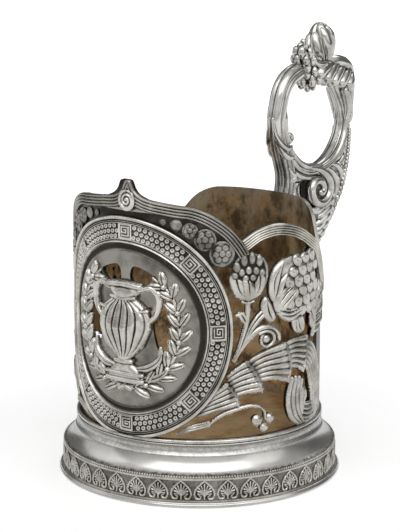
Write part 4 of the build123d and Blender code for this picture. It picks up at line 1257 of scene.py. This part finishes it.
# Wall sheet: frames and a backing for all the work, open between the flowers and leaves
for sheet in wall_sheets.values():
    board.take(sheet)
board_reach = medallion_distance(board)
for _, _, profile in bands.values():
    line = np.array(profile)
    in_band = (board_reach > line[0, 0]) & (board_reach < line[-1, 0])
    board.height[in_band] = np.interp(board_reach[in_band], line[:, 0], line[:, 1])
    board.edge[in_band] = -0.3
board_tone = hollows(board, -0.25)


def edge_gap(sheet, line):
    """How far a place lies above a rim edge, less than zero below it."""
    points = np.array(line)
    return sheet.v - np.interp(sheet.u, points[:, 0], points[:, 1])


side_edge = np.vstack([smooth_line([finial_tip] + finial_side + front_edge), smooth_line(arch_edge)[1:]])
backing = Sheet((0.0, 16.0), (73.8, 90.0), 2 * lattice)
below_rim = edge_gap(backing, side_edge)
spandrel = np.maximum(below_rim, backing.u - 33.0 + (backing.v - 72.8) * 0.35)
spandrel = np.maximum(spandrel, spandrel_low - backing.v)
solid = np.minimum.reduce([medallion_distance(backing) - backing_reach, spandrel,
                           backing.v - wall_foot - lower_frame, rear_frame - backing.u])
for name, work in wall_sheets.items():
    if name.startswith(("rim", "finial", "emblem", "spandrel")):
        continue
    first = np.maximum((work.start + 1) // 2, backing.start)
    last = np.minimum((work.start + np.array(work.u.shape) - 1) // 2,
                      backing.start + np.array(backing.u.shape) - 1)
    here = tuple(slice(a - b, c - b + 1) for a, b, c in zip(first, backing.start, last))
    there = tuple(slice(2 * a - b, 2 * c - b + 1, 2) for a, b, c in zip(first, work.start, last))
    solid[here] = np.minimum(solid[here], work.edge[there] + 0.2)
rim_spot, _, rim_share, rim_half = backing.along(side_edge, 2 * rim_width - 0.4, straight=True)
near_rim = np.full(backing.u.shape, FAR)
near_rim[rim_spot] = (rim_share - 1) * rim_half
solid = np.minimum(solid, near_rim)
backing.edge = np.maximum.reduce([solid, below_rim + 0.1, wall_foot - backing.v])
for outline in field_windows:
    for flip in (1, -1):
        backing.pierce(on_field(outline, flip))
backing.height = np.full(backing.u.shape, wall_outer - seat)
# Outside of the wall sheet near-black, oxide and painted shade on the ground between the castings, lighter
# towards its rear strip by the back panel.
wall_oxide_and_shade = np.interp(backing.u, [61.0, 66.0], [0.85, 0.25])
for mirrored, word in both_hands:
    piece = cast("wall_sheet_" + word, backing, on_wall, wall_inner - seat, wall_oxide_and_shade, mirrored=mirrored,
                 lined=True)
    dress(piece, wall_finish, *(["openwork_wall"] if word == "right" else []), slot="wall_sheet")

# Back panel: plain lobe, brown within
panel = Sheet((73.6, 16.0), (half_round + 0.2, 76.0), 0.4)
lobe_line = smooth_line(lobe_edge + [(half_round + 2.0, 74.3)])
panel.edge = np.maximum.reduce([edge_gap(panel, lobe_line), wall_foot - panel.v,
                                panel.u - half_round - 0.02])
panel.height = np.full(panel.u.shape, wall_outer - seat)
panel_tone = np.where(panel.v < 20, 0.52, 0.22)
for mirrored, word in both_hands:
    piece = cast("back_panel_" + word, panel, on_wall, wall_inner - seat, panel_tone, mirrored=mirrored,
                 lined=True)
    dress(piece, wall_finish, *(["back_panel"] if word == "right" else []), slot="wall_sheet")

# Castings on the wall: flowers and leaves on both sides, medallion and rim work once
softer = {"fan_leaf": 0.35, "curl_leaf": 0.5}
# darker: extra oxide for some castings; for the fan leaf it also carries its painted shade.
darker = {"fan_leaf": fan_shade + 0.18, "curl_leaf": 0.22, "tulip_crown": 0.36, "spandrel_roundels": 0.54,
          "rim_finial": 0.1}
single_finishes = {"rim_finial": rim_finish, "finial_boss": trim_finish, "emblem_vase": trim_finish,
                   "emblem_sprays": trim_finish}
single_floors = {"rim_finial": 0.0, "finial_boss": 0.3, "emblem_vase": 0.2, "emblem_sprays": 0.2}
for name, work in wall_sheets.items():
    tone = np.clip(softer.get(name, 1.0) * board_tone[board.part_of(work)] + darker.get(name, 0.0), 0, 1)
    if name in single_finishes:
        dress(cast(name + "_work", work, on_wall, single_floors[name], tone), single_finishes[name], name)
        continue
    work.edge = np.maximum.reduce([work.edge, work_reach - medallion_distance(work), work_foot - work.v])
    for mirrored, word in both_hands:
        piece = cast(name + "_" + word + "_work", work, on_wall, 0.0, tone, mirrored=mirrored)
        dress(piece, cast_finish, name + "_" + word)


# Handle: limbs, bridge with volute, shell, leaf, bud, berries and spine, drawn as y and z
def rounded_path(points, bends, step=0.35):
    """Straight runs joined by round bends, as evenly spaced points."""
    given = np.array(points, float)
    line = [given[0]]
    for a, b, c, radius in zip(given[:-2], given[1:-1], given[2:], bends):
        into = (b - a) / np.linalg.norm(b - a)
        away = (c - b) / np.linalg.norm(c - b)
        turn = math.acos(np.clip(into @ away, -1, 1))
        inset = radius * math.tan(turn / 2)
        middle = b + (away - into) / np.linalg.norm(away - into) * radius / math.cos(turn / 2)
        first = b - into * inset - middle
        sense = np.sign(into[0] * away[1] - into[1] * away[0])
        for angle in np.linspace(0, turn, 16) * sense:
            c_a, s_a = math.cos(angle), math.sin(angle)
            line.append(middle + [first[0] * c_a - first[1] * s_a, first[0] * s_a + first[1] * c_a])
    line = np.array(line + [given[-1]])
    along = np.concatenate([[0], np.cumsum(np.linalg.norm(np.diff(line, axis=0), axis=1))])
    even = np.arange(0, along[-1], step)
    return np.stack([np.interp(even, along, line[:, k]) for k in (0, 1)], 1)


def limb(name, line, girth, around=72, wide=1.0):
    """Limb along a line in the handle's plane; its girth gives radius and oxide, and wide its breadth."""
    heading = np.gradient(line, axis=0)
    heading /= np.linalg.norm(heading, axis=1)[:, None]
    turn = np.linspace(0, 2 * math.pi, around, endpoint=False)[None, :]
    along = np.linspace(0, 1, len(line))[:, None]
    radius, tone = girth(turn, along)
    out = radius * np.cos(turn)
    y = line[:, :1] - heading[:, 1:] * out
    z = line[:, 1:] + heading[:, :1] * out
    points = np.stack([radius * np.sin(turn) * stretch(wide, along), y, z], -1).reshape(-1, 3)
    faces = [ring_faces(len(line), around), ring_ends(len(line), around)]
    return build_mesh(name, points, faces, {"oxide": tone.ravel()}, 70.0)


def flutes(turn, count, depth):
    """Round flutes with sharp grooves, as a share of the radius, and the oxide in the grooves."""
    swell = np.abs(np.cos(turn * count / 2)) ** 0.55
    return 1 - depth + depth * swell, np.clip(1.05 - 1.5 * swell, 0, 1)


inner_line = rounded_path([(31.2, 57.5), (41.6, 65.0), (44.8, 76.5), (38.2, 93.0), (42.1, 104.9),
                           (53.2, 107.9)], [10, 12, 12, 9])
outer_line = rounded_path([(69.2, 102.5), (75.8, 93.0), (76.8, 80.5), (71.2, 66.5), (59.2, 54.0),
                           (31.2, 39.0)], [16, 20, 24, 26])
pad_face = 35.0
inner_line = inner_line[inner_line[:, 0] > pad_face]
outer_line = outer_line[outer_line[:, 0] > pad_face]


def inner_girth(turn, along):
    """Broad flutes above the curl, fine ones below it."""
    broad, broad_tone = flutes(turn + 0.62, 5, 0.24)
    fine_share, fine_tone = flutes(turn + 0.35, 11, 0.14)
    upper = np.clip((along - 0.50) / 0.12, 0, 1)
    end = np.clip((1 - along) / 0.06, 0.55, 1)
    radius = (broad * upper + fine_share * (1 - upper)) * (3.05 - 0.2 * upper)
    return radius * end, broad_tone * upper + np.clip(fine_tone + 0.4, 0, 1) * (1 - upper)


def outer_girth(turn, along):
    """Flutes beside the loop and at the wall, with rows of swellings between."""
    share, tone = flutes(turn + 0.2, 6, 0.2)
    ringed = np.clip((along - 0.30) / 0.10, 0, 1) * np.clip((0.80 - along) / 0.06, 0, 1)
    ring = np.abs(np.cos(math.pi * 24 * along + 0.5 * np.cos(turn))) ** 0.5
    radius = share * (1 - ringed) + (0.88 + 0.12 * ring) * ringed
    ring_tone = np.clip(0.3 - 0.9 * ring, 0, 1)
    thick = stretch([2.3, 2.2, 1.9, 1.9, 2.3], along)
    return thick * radius * np.clip(along / 0.02, 0.7, 1), tone * (1 - ringed) + ring_tone * ringed


dress(limb("inner_limb", inner_line, inner_girth), handle_finish, "handle_inner_limb")
dress(limb("outer_limb", outer_line, outer_girth, wide=[0.8, 0.75, 0.6, 0.6, 0.8]), handle_finish,
      "handle_outer_limb")


def roll_girth(turn, along):
    """Flutes round the loop's lower edge, tapering at both ends."""
    share, tone = flutes(turn, 6, 0.14)
    return 1.45 * share * np.clip(np.minimum(along, 1 - along) / 0.12, 0.25, 1) ** 0.6, tone + 0 * along


roll_line = smooth_line([(71.4, 99.8), (74.3, 96.2), (75.6, 92.0), (75.3, 87.6), (73.8, 84.0), (71.2, 80.8),
                         (67.2, 78.1), (62.2, 76.6), (56.8, 76.3), (52.0, 77.2), (47.8, 79.3),
                         (44.8, 82.4)])
dress(limb("loop_roll", roll_line, roll_girth, around=48, wide=[1.5, 1.8, 2.0, 2.0, 1.9, 1.6]),
      handle_finish)


def bars(name, rows, around=12, dark=0.4):
    """Round bars along smooth lines in space, tapered as their radii say, with oxide where they meet."""
    lines = []
    for points, radii in rows:
        line = smooth_line(points, step=0.3)
        run = np.concatenate([[0], np.cumsum(np.linalg.norm(np.diff(line, axis=0), axis=1))])
        radius = stretch(radii, run / run[-1])
        from_end = np.clip(np.minimum(run, run[-1] - run) / radius, 0.03, 1)
        lines.append((line, radius * np.sqrt(1 - (1 - from_end) ** 2)))
    turn = np.linspace(0, 2 * math.pi, around, endpoint=False)[None, :, None]
    points = []
    quads = []
    caps = []
    tones = []
    count = 0
    for this, (line, radius) in enumerate(lines):
        heading = np.gradient(line, axis=0)
        heading /= np.linalg.norm(heading, axis=1)[:, None]
        side = np.array([1.0, 0.0, 0.0]) - heading * heading[:, :1]
        side /= np.linalg.norm(side, axis=1)[:, None]
        other = np.cross(side, heading)
        offset = np.cos(turn) * other[:, None] + np.sin(turn) * side[:, None]
        rings = line[:, None] + radius[:, None, None] * offset
        gap = np.full(rings.shape[:2], FAR)
        for that, (near_line, near_radius) in enumerate(lines):
            if that != this:
                away = np.linalg.norm(rings[:, :, None] - near_line[None, None], axis=-1) - near_radius
                gap = np.minimum(gap, away.min(-1))
        points.append(rings.reshape(-1, 3))
        quads.append(ring_faces(len(line), around) + count)
        caps.append(ring_ends(len(line), around) + count)
        tones.append(np.clip(1 - gap / dark, 0, 1).ravel())
        count += len(line) * around
    faces = [np.vstack(quads), np.vstack(caps)]
    return build_mesh(name, np.vstack(points), faces, {"oxide": np.concatenate(tones)}, 70.0)


def both_sides(rows):
    """The rows of bars and their mirror images."""
    return rows + [([(-x, y, z) for x, y, z in points], radii) for points, radii in rows]


# Bridge between the limbs, with flutes that run down into the volute
web = Sheet((36.0, 62.0), (79.0, 99.0))
web_outline = [(40.2, 91.0), (43.2, 87.0), (46.8, 82.5), (51.6, 77.6), (59.1, 75.9), (65.2, 76.0),
               (70.4, 78.8), (74.2, 83.8), (76.0, 90.0), (76.2, 78.5), (72.2, 70.5), (69.2, 66.9),
               (65.2, 66.7), (59.6, 70.3), (54.2, 73.3), (44.6, 74.0)]
web.plate(web_outline, 1.6, 0.2, over=2.2, smooth=False)
web_flutes = [
    ([(41.6, 89.4), (44.4, 84.6), (48.2, 80.9), (52.6, 78.6), (58.6, 77.2), (63.4, 76.4), (66.6, 73.8),
      (67.4, 70.0)], [1.2, 2.0, 2.3, 2.1, 1.9, 2.0, 2.0, 1.4], 1.0),
    ([(42.6, 85.0), (45.6, 81.2), (49.4, 78.2), (54.0, 76.5), (58.8, 75.8), (62.6, 74.6), (65.0, 72.2),
      (65.4, 69.0)], [1.2, 1.9, 2.1, 2.0, 1.8, 1.8, 1.7, 1.2], 0.9),
    ([(43.6, 80.6), (46.8, 77.6), (51.0, 75.6), (55.6, 74.7), (59.0, 74.5)], [1.2, 1.8, 2.0, 1.8, 1.4],
     0.8),
    ([(44.2, 77.4), (47.0, 75.6), (50.6, 74.4)], [1.6, 2.0, 1.5], 0.7),
    ([(75.2, 85.6), (73.4, 81.4), (70.4, 78.6), (66.4, 77.4)], [1.2, 2.3, 2.3, 1.4], 1.1),
    ([(75.2, 81.4), (73.2, 78.0), (70.8, 76.2), (68.0, 75.6)], [1.2, 2.1, 2.1, 1.2], 1.0),
    ([(74.6, 77.4), (72.6, 75.0), (70.6, 73.7), (68.4, 73.4)], [1.2, 2.0, 1.9, 1.2], 0.9),
    ([(73.0, 73.4), (71.2, 71.6), (69.6, 71.0), (68.2, 71.2)], [1.2, 1.9, 1.7, 1.0], 0.8),
]
for path, width, rise in web_flutes:
    steps = len(path)
    web.ridge(path, width, [0.2] + [rise] * (steps - 2) + [0.3], [0.3] + [1.5] * (steps - 2) + [0.9],
              crown=0.6)
web.dome((45.4, 77.2), (2.6, 2.2), 0.8, 1.9)
dress(cast("bridge", web, on_handle, oxide=hollows(web, 0.0), doubled=True), handle_finish, "handle_web")

# Plate in the recess under the bridge, beside the volute, black all over: painted shade under the bridge.
recess = Sheet((46.0, 56.0), (70.0, 78.0), 0.3)
recess.plate([(53.6, 75.0), (53.6, 68.4), (56.0, 66.6), (60.0, 65.6), (64.0, 66.0), (64.0, 70.0),
              (58.0, 75.2)], 0.7, over=0.5, smooth=False)
dress(cast("bridge_recess", recess, on_handle, oxide=np.ones(recess.u.shape), doubled=True), recess_shade_finish)
volute = Sheet((53.0, 64.0), (67.0, 77.0))
volute.dome((59.6, 70.3), 9.4, 1.2, 0.9, crown=0.3)
dress(cast("volute", volute, on_handle, oxide=np.full(volute.u.shape, 0.7), doubled=True), cast_finish,
      "handle_volute")
volute_bars = [
    ([(2.2, 54.0, 78.0), (2.3, 59.6, 76.4), (2.4, 63.6, 73.7), (2.4, 65.2, 70.4), (2.4, 63.7, 67.3),
      (2.4, 60.3, 66.1), (2.4, 56.5, 67.7), (2.4, 55.0, 70.8), (2.4, 56.6, 73.1), (2.4, 59.8, 72.9),
      (2.4, 61.7, 70.9), (2.5, 60.7, 69.3), (2.6, 58.8, 69.9)],
     [0.5, 1.0, 1.25, 1.4, 1.4, 1.35, 1.3, 1.25, 1.2, 1.1, 1.0]),
    ([(1.8, 61.6, 77.0), (2.2, 65.2, 75.6), (2.4, 68.4, 72.4), (2.3, 68.7, 68.6), (1.8, 66.2, 65.7)],
     [0.3, 0.9, 1.2, 1.1, 0.5]),
    ([(1.8, 65.0, 77.6), (2.1, 69.0, 76.4), (2.2, 71.6, 73.6), (1.9, 72.0, 70.4)], [0.3, 0.9, 1.1, 0.5]),
]
dress(bars("volute_scroll", both_sides(volute_bars)), handle_finish)
drop_bars = [([(1.0, y - 3.2, z - 1.6), (1.7, y - 0.8, z - 0.2), (2.0, y + 1.8, z + 1.2),
               (1.4, y + 4.4, z + 1.8)], [1.2, 1.7, 1.9, 1.2])
             for y, z in ((63.2, 65.0), (62.4, 62.6), (61.4, 60.4), (60.2, 58.2), (58.4, 56.2), (56.2, 54.6))]
drop_bars.append(([(1.2, 55.4, 64.6), (1.8, 58.6, 64.2), (2.0, 62.0, 65.2)], [0.9, 1.5, 1.3]))
dress(bars("limb_drops", both_sides(drop_bars), dark=0.1), handle_finish)

# Leaf that curls off the inner limb into the loop, with a second tip below it
loop_leaf = [
    ([(1.2, 41.2, 99.6), (1.4, 40.9, 95.4), (1.5, 41.1, 91.6), (1.5, 42.0, 88.9), (1.5, 43.9, 87.4),
      (1.5, 45.1, 88.3), (1.5, 44.1, 89.4), (1.5, 43.3, 88.7)],
     [0.5, 1.0, 1.25, 1.3, 1.15, 0.95, 0.75, 0.5]),
    ([(0.4, 36.4, 95.4), (1.3, 37.0, 90.0), (2.3, 39.5, 86.5), (2.4, 42.4, 85.5), (1.8, 45.0, 85.8)],
     [0.3, 0.7, 1.0, 1.1, 0.4]),
    ([(0.8, 36.8, 91.0), (1.5, 38.0, 87.2), (2.3, 40.2, 84.0), (2.4, 43.4, 82.6), (1.8, 45.8, 82.8)],
     [0.3, 0.7, 1.0, 1.1, 0.4]),
    ([(2.0, 42.0, 81.0), (2.3, 43.4, 78.4), (2.4, 45.2, 76.6), (2.4, 44.1, 75.6), (2.4, 43.1, 76.7)],
     [0.4, 0.8, 0.95, 0.8, 0.5]),
]
dress(bars("loop_leaf", both_sides(loop_leaf)), handle_finish)

# Thumb rest: gadrooned shell that rolls over at the end
shell = Sheet((52.0, 96.0), (79.0, 112.0))
shell_core = [(57.2, 105.2), (60.2, 107.2), (64.1, 108.4), (68.2, 108.3), (72.4, 106.8), (76.2, 103.5),
              (76.8, 100.0), (74.7, 98.8), (69.2, 100.0), (64.2, 101.4), (60.2, 102.8)]
shell.plate(shell_core, 2.3, 0.0, over=2.6)
dress(cast("thumb_shell_work", shell, on_handle, oxide=hollows(shell, 0.0), doubled=True), handle_finish,
      "thumb_shell")
shell_rows = [
    [(1.6, 66.3, 107.4), (3.0, 58.9, 106.4), (3.2, 56.8, 104.4)],
    [(1.6, 69.4, 107.1), (3.0, 63.0, 105.1), (3.2, 60.5, 102.5)],
    [(1.6, 73.0, 106.2), (3.0, 66.7, 103.8), (3.2, 64.5, 101.1)],
    [(1.6, 76.2, 104.8), (3.0, 70.8, 102.6), (3.2, 68.6, 100.3)],
    [(1.6, 77.8, 103.2), (2.8, 74.6, 101.0), (3.0, 73.2, 99.2)],
]
shell_lobes = [(row, [1.1, 1.85, 1.75]) for row in shell_rows]
shell_lobes.append(([(1.1, 63.8, 107.4), (1.2, 68.9, 107.9), (1.3, 74.2, 106.3), (1.2, 77.4, 103.6),
                     (1.0, 78.4, 100.4)], [1.2, 2.0, 2.2, 1.8, 1.0]))
dress(bars("thumb_shell_lobes", both_sides(shell_lobes), around=16), handle_finish)
leaf_bars = [
    ([(0.9, 77.6, 103.0), (1.0, 78.7, 99.5), (1.0, 78.2, 96.0), (1.0, 78.3, 93.0), (1.0, 79.1, 90.5),
      (0.9, 78.8, 88.0)], [1.0, 1.3, 1.25, 1.1, 0.9, 0.4]),
    ([(2.2, 74.4, 103.6), (2.3, 73.9, 100.6), (2.4, 74.8, 97.2), (2.2, 76.6, 93.6)], [0.6, 0.95, 0.9, 0.4]),
    ([(1.7, 76.2, 103.4), (1.9, 76.3, 100.0), (1.9, 76.9, 96.4), (1.6, 77.9, 92.6)], [0.6, 1.3, 1.3, 0.5]),
    ([(1.0, 75.4, 102.0), (1.2, 76.4, 98.0), (1.2, 77.0, 94.0), (0.9, 77.8, 90.0)], [1.2, 1.5, 1.3, 0.6]),
    ([(2.6, 72.2, 99.8), (2.6, 73.7, 96.8), (2.4, 75.0, 93.0), (1.9, 74.4, 89.4)], [1.3, 1.4, 1.2, 0.4]),
]
dress(bars("thumb_leaf_work", both_sides(leaf_bars), dark=0.08), handle_finish, "thumb_leaf")

# Bud: petals that fold over one another as they rise, with leaning leaf folds round them
bud_place = np.array([0.0, 62.4, 108.1])
bud_profile = smooth_line([(1.4, 0.0), (2.4, 0.2), (3.1, 1.5), (3.6, 3.6), (3.8, 5.8), (3.7, 7.8),
                           (3.2, 9.7), (2.3, 11.2), (1.2, 12.0), (0.25, 12.15)], step=0.2)
petal_count = 5
petal_lean = 0.055


def petal_swell(turn, height):
    """Rise of the petals: slow up to each free edge, then down sharply."""
    phase = np.mod(petal_count * turn / (2 * math.pi) + petal_lean * height + 0.35, 1.0)
    return np.minimum(phase / 0.8, (1 - phase) / 0.2) ** 0.7


def petals(radius, height, turn):
    """Radius of the bud with its petals."""
    return radius * (0.76 + 0.24 * petal_swell(turn, height))


bud_segments = 120
bud_turns = np.linspace(0, 2 * math.pi, bud_segments, endpoint=False)
bud_tone = np.clip(1.05 - 1.9 * petal_swell(bud_turns, bud_profile[:, 1:]), 0, 1)
bud = turned("bud", bud_profile, bud_segments, closed=False, sharp=60.0, oxide=bud_tone, lobes=petals,
             place=bud_place)
dress(bud, handle_finish, "bud_finial")

fold_tops = [10.0, 11.0, 11.2, 10.8, 10.6, 9.4]
fold_turns = [-22, 0, 14, 26, 38]
fold_reach = [1.6, 2.7, 3.2, 3.1, 2.2]
fold_rises = [1.0, 0.8, 0.54, 0.28, 0.05]
fold_girth = [0.8, 1.5, 1.65, 1.5, 0.8]
bud_bars = []
for i, top in enumerate(fold_tops):
    turns = [math.radians(t + 360 * i / len(fold_tops)) for t in fold_turns]
    bud_bars.append(([bud_place + [r * math.sin(t), -r * math.cos(t), h * top]
                      for t, r, h in zip(turns, fold_reach, fold_rises)], fold_girth))
bud_bars += both_sides([
    ([(2.2, 55.6, 110.9), (2.6, 56.6, 109.0), (2.7, 60.0, 108.3), (2.4, 63.0, 109.0)],
     [0.6, 1.0, 1.1, 0.6]),
    ([(0.9, 55.4, 113.2), (1.2, 57.4, 110.6), (1.0, 60.8, 109.0)], [0.9, 1.7, 1.6]),
])
dress(bars("bud_leaves", bud_bars, dark=0.25), handle_finish)

# Berries between the inner limb and the bud, and beads down the outer edge
berry_places = [
    (0.0, 51.7, 113.7), (0.9, 51.0, 112.4), (0.0, 50.2, 110.4), (1.9, 51.6, 110.4), (1.6, 53.0, 108.2),
    (0.0, 51.3, 107.8), (1.2, 53.4, 105.9), (2.7, 55.0, 106.6), (2.2, 54.6, 104.0), (0.0, 53.0, 104.0),
    (1.9, 55.4, 102.3), (0.0, 55.6, 101.9), (1.6, 55.6, 109.6), (1.3, 54.6, 112.0), (0.0, 54.4, 113.5),
    (2.6, 57.4, 104.2), (0.0, 53.1, 114.4),
]
berry_bars = [([(0.0, 55.0, 103.4), (0.0, 53.8, 108.2), (0.0, 53.2, 113.0)], [1.8, 2.3, 1.8])]
for i, (x, y, z) in enumerate(berry_places):
    girth = 1.1 + 0.12 * math.sin(2.3 * i)
    half = 1.8 + 0.3 * math.sin(1.7 * i)
    for flip in ((1, -1) if x else (1,)):
        berry_bars.append(([(flip * x, y + 0.3, z - half), (flip * x * 1.1, y, z),
                            (flip * x, y + 0.3, z + half)], [girth * 0.8, girth, girth * 0.8]))
dress(bars("berries", berry_bars, dark=0.22), handle_finish, "grape_cluster")
bead_levels = np.radians(np.linspace(-90, 90, 9)[1:-1])
bead = bead_die("bead_die", [(math.cos(a), math.sin(a)) for a in bead_levels], 14,
                [0.45, 0.3, 0.15, 0.05, 0.0, 0.0, 0.0])
least_bead = 0.55
most_bead = 1.05
bead_step = 0.2
spine_places = []
spine_sizes = []
spine_line = smooth_line([(79.3, 88.6), (79.5, 83.1), (79.1, 79.6), (78.1, 75.8), (76.4, 71.2),
                          (73.8, 66.2), (70.6, 61.9), (66.4, 57.8)], step=bead_step)
side_line = smooth_line([(75.5, 86.6), (75.3, 84.2), (75.0, 81.1), (74.2, 77.3), (73.0, 73.6), (71.7, 70.7),
                         (69.9, 67.9), (67.9, 65.5)], step=bead_step)
for line, sides in ((spine_line, (0.0,)), (side_line, (2.8, -2.8))):
    at = 0
    while at < len(line):
        size = least_bead + (most_bead - least_bead) * at / len(line)
        for x in sides:
            spine_sizes.append(size)
            spine_places.append((x, *line[at]))
        at += int(1.8 * size / bead_step)
spine = run_tree("bead_spine_work", beading, marks("bead_spine_work", spine_places, spine_sizes),
                 piece=bead, scale=1.0, material=handle_finish)
dress(spine, handle_finish, "bead_spine")
bpy.data.objects.remove(bead)

# Leaf-shaped plates that fasten the handle to the back
for name, z in (("upper_handle_pad", 60.0), ("lower_handle_pad", 41.0)):
    pad = Sheet((half_round - 8.0, z - 8.0), (half_round + 8.0, z + 8.0))
    pad.plate([(half_round - 6.5, z), (half_round, z - 6.0), (half_round + 6.5, z), (half_round, z + 6.0)],
              0.8, over=1.2)
    for lean in (-4.4, -2.2, 0.0, 2.2, 4.4):
        pad.ridge([(half_round + lean * 0.3, z - 5.2), (half_round + lean, z),
                   (half_round + lean * 0.3, z + 5.2)], [0.8, 1.9, 0.8], [0.3, 0.6, 0.3], 0.5, crown=0.6)
    dress(cast(name + "_work", pad, on_wall, 0.0, hollows(pad, 0.0)), cast_finish, name)

# Floor that the glass stands on: the solid itself, gilded
floor_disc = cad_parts["floor_disc"]
floor_disc.data.materials.clear()
floor_disc.data.materials.append(floor_gilt)

# Camera and lamps
camera_turn = math.radians(35.0)
camera_distance = 650.0
camera_z = 212.5
aim_aside = 0.21
aim_z = 58.13
eye = Vector((camera_distance * math.sin(camera_turn), -camera_distance * math.cos(camera_turn),
              camera_z)) * MM
aim = Vector((aim_aside * math.cos(camera_turn), aim_aside * math.sin(camera_turn), aim_z)) * MM
camera_data = bpy.data.cameras.new("camera")
camera_data.lens = 160.58
camera_data.sensor_width = 36.0
camera_data.clip_start = 0.01
camera = add_object("camera", camera_data)
camera.location = eye
camera.rotation_euler = (aim - eye).to_track_quat("-Z", "Y").to_euler()
bpy.context.scene.camera = camera


def soft_lamp(name, place, size, power):
    """Large lamp aimed at the holder."""
    data = bpy.data.lights.new(name, "AREA")
    data.shape = "RECTANGLE"
    data.size, data.size_y = size
    data.energy = power
    lamp = add_object(name, data)
    lamp.location = Vector(place)
    lamp.rotation_euler = (Vector((0, 0, 0.05)) - Vector(place)).to_track_quat("-Z", "Y").to_euler()


soft_lamp("lamp_front", (0.34, -0.49, 1.04), (1.6, 1.0), 6.5)
soft_lamp("lamp_left", (-1.1, -0.45, 0.6), (1.0, 1.1), 2.0)
soft_lamp("lamp_right", (1.25, 0.15, 0.7), (1.0, 1.1), 1.8)
soft_lamp("lamp_back", (-0.2, 1.0, 1.0), (0.9, 0.6), 2.2)

# Pale studio floor, white in the distance and a little darker under the holder
floor_glow = 0.53
mirrored_glow = 0.6
bpy.ops.mesh.primitive_plane_add(size=6.0)
floor = bpy.context.object
floor.name = "studio_floor"
pale = Finish("pale_floor")
pale.shader.inputs["Specular IOR Level"].default_value = 0.0
pale.finish((0.85, 0.85, 0.85, 1.0), 0.9, 0.0)
straight, mirrored_ray = pale.rays()
away = pale.nodes.new("ShaderNodeVectorMath")
away.operation = "LENGTH"
pale.join(pale.place, away.inputs[0])
strength = pale.spread(away.outputs["Value"], 0.08, 0.6, floor_glow, 1.0)
shown = pale.math("MAXIMUM", straight, pale.math("MULTIPLY", mirrored_ray, mirrored_glow))
pale.join((1.0, 1.0, 1.0, 1.0), pale.shader.inputs["Emission Color"])
pale.join(pale.math("MULTIPLY", shown, strength), pale.shader.inputs["Emission Strength"])
floor.data.materials.append(pale.material)

# Sky: white where it is seen, and where metal mirrors it a dim room, brighter high up in front
dim_room = 0.16
bright_room = 0.75
world = bpy.data.worlds.new("studio")
world.use_nodes = True
bpy.context.scene.world = world
sky = Wiring(world.node_tree)
facing = sky.nodes.new("ShaderNodeVectorMath")
facing.operation = "DOT_PRODUCT"
facing.inputs[1].default_value = (0.5 * math.sin(camera_turn), -0.5 * math.cos(camera_turn), 0.866)
sky.join(sky.nodes.new("ShaderNodeTexCoord").outputs["Generated"], facing.inputs[0])
room = sky.spread(facing.outputs["Value"], 0.05, 0.75, dim_room, bright_room)
straight, mirrored_ray = sky.rays()
strength = sky.math("MAXIMUM", straight, sky.math("MULTIPLY", mirrored_ray, room))
backdrop = sky.nodes["Background"].inputs
sky.join((1.0, 1.0, 1.0, 1.0), backdrop["Color"])
sky.join(sky.math("MAXIMUM", strength, dim_room), backdrop["Strength"])

bpy.context.scene.view_settings.view_transform = "Standard"
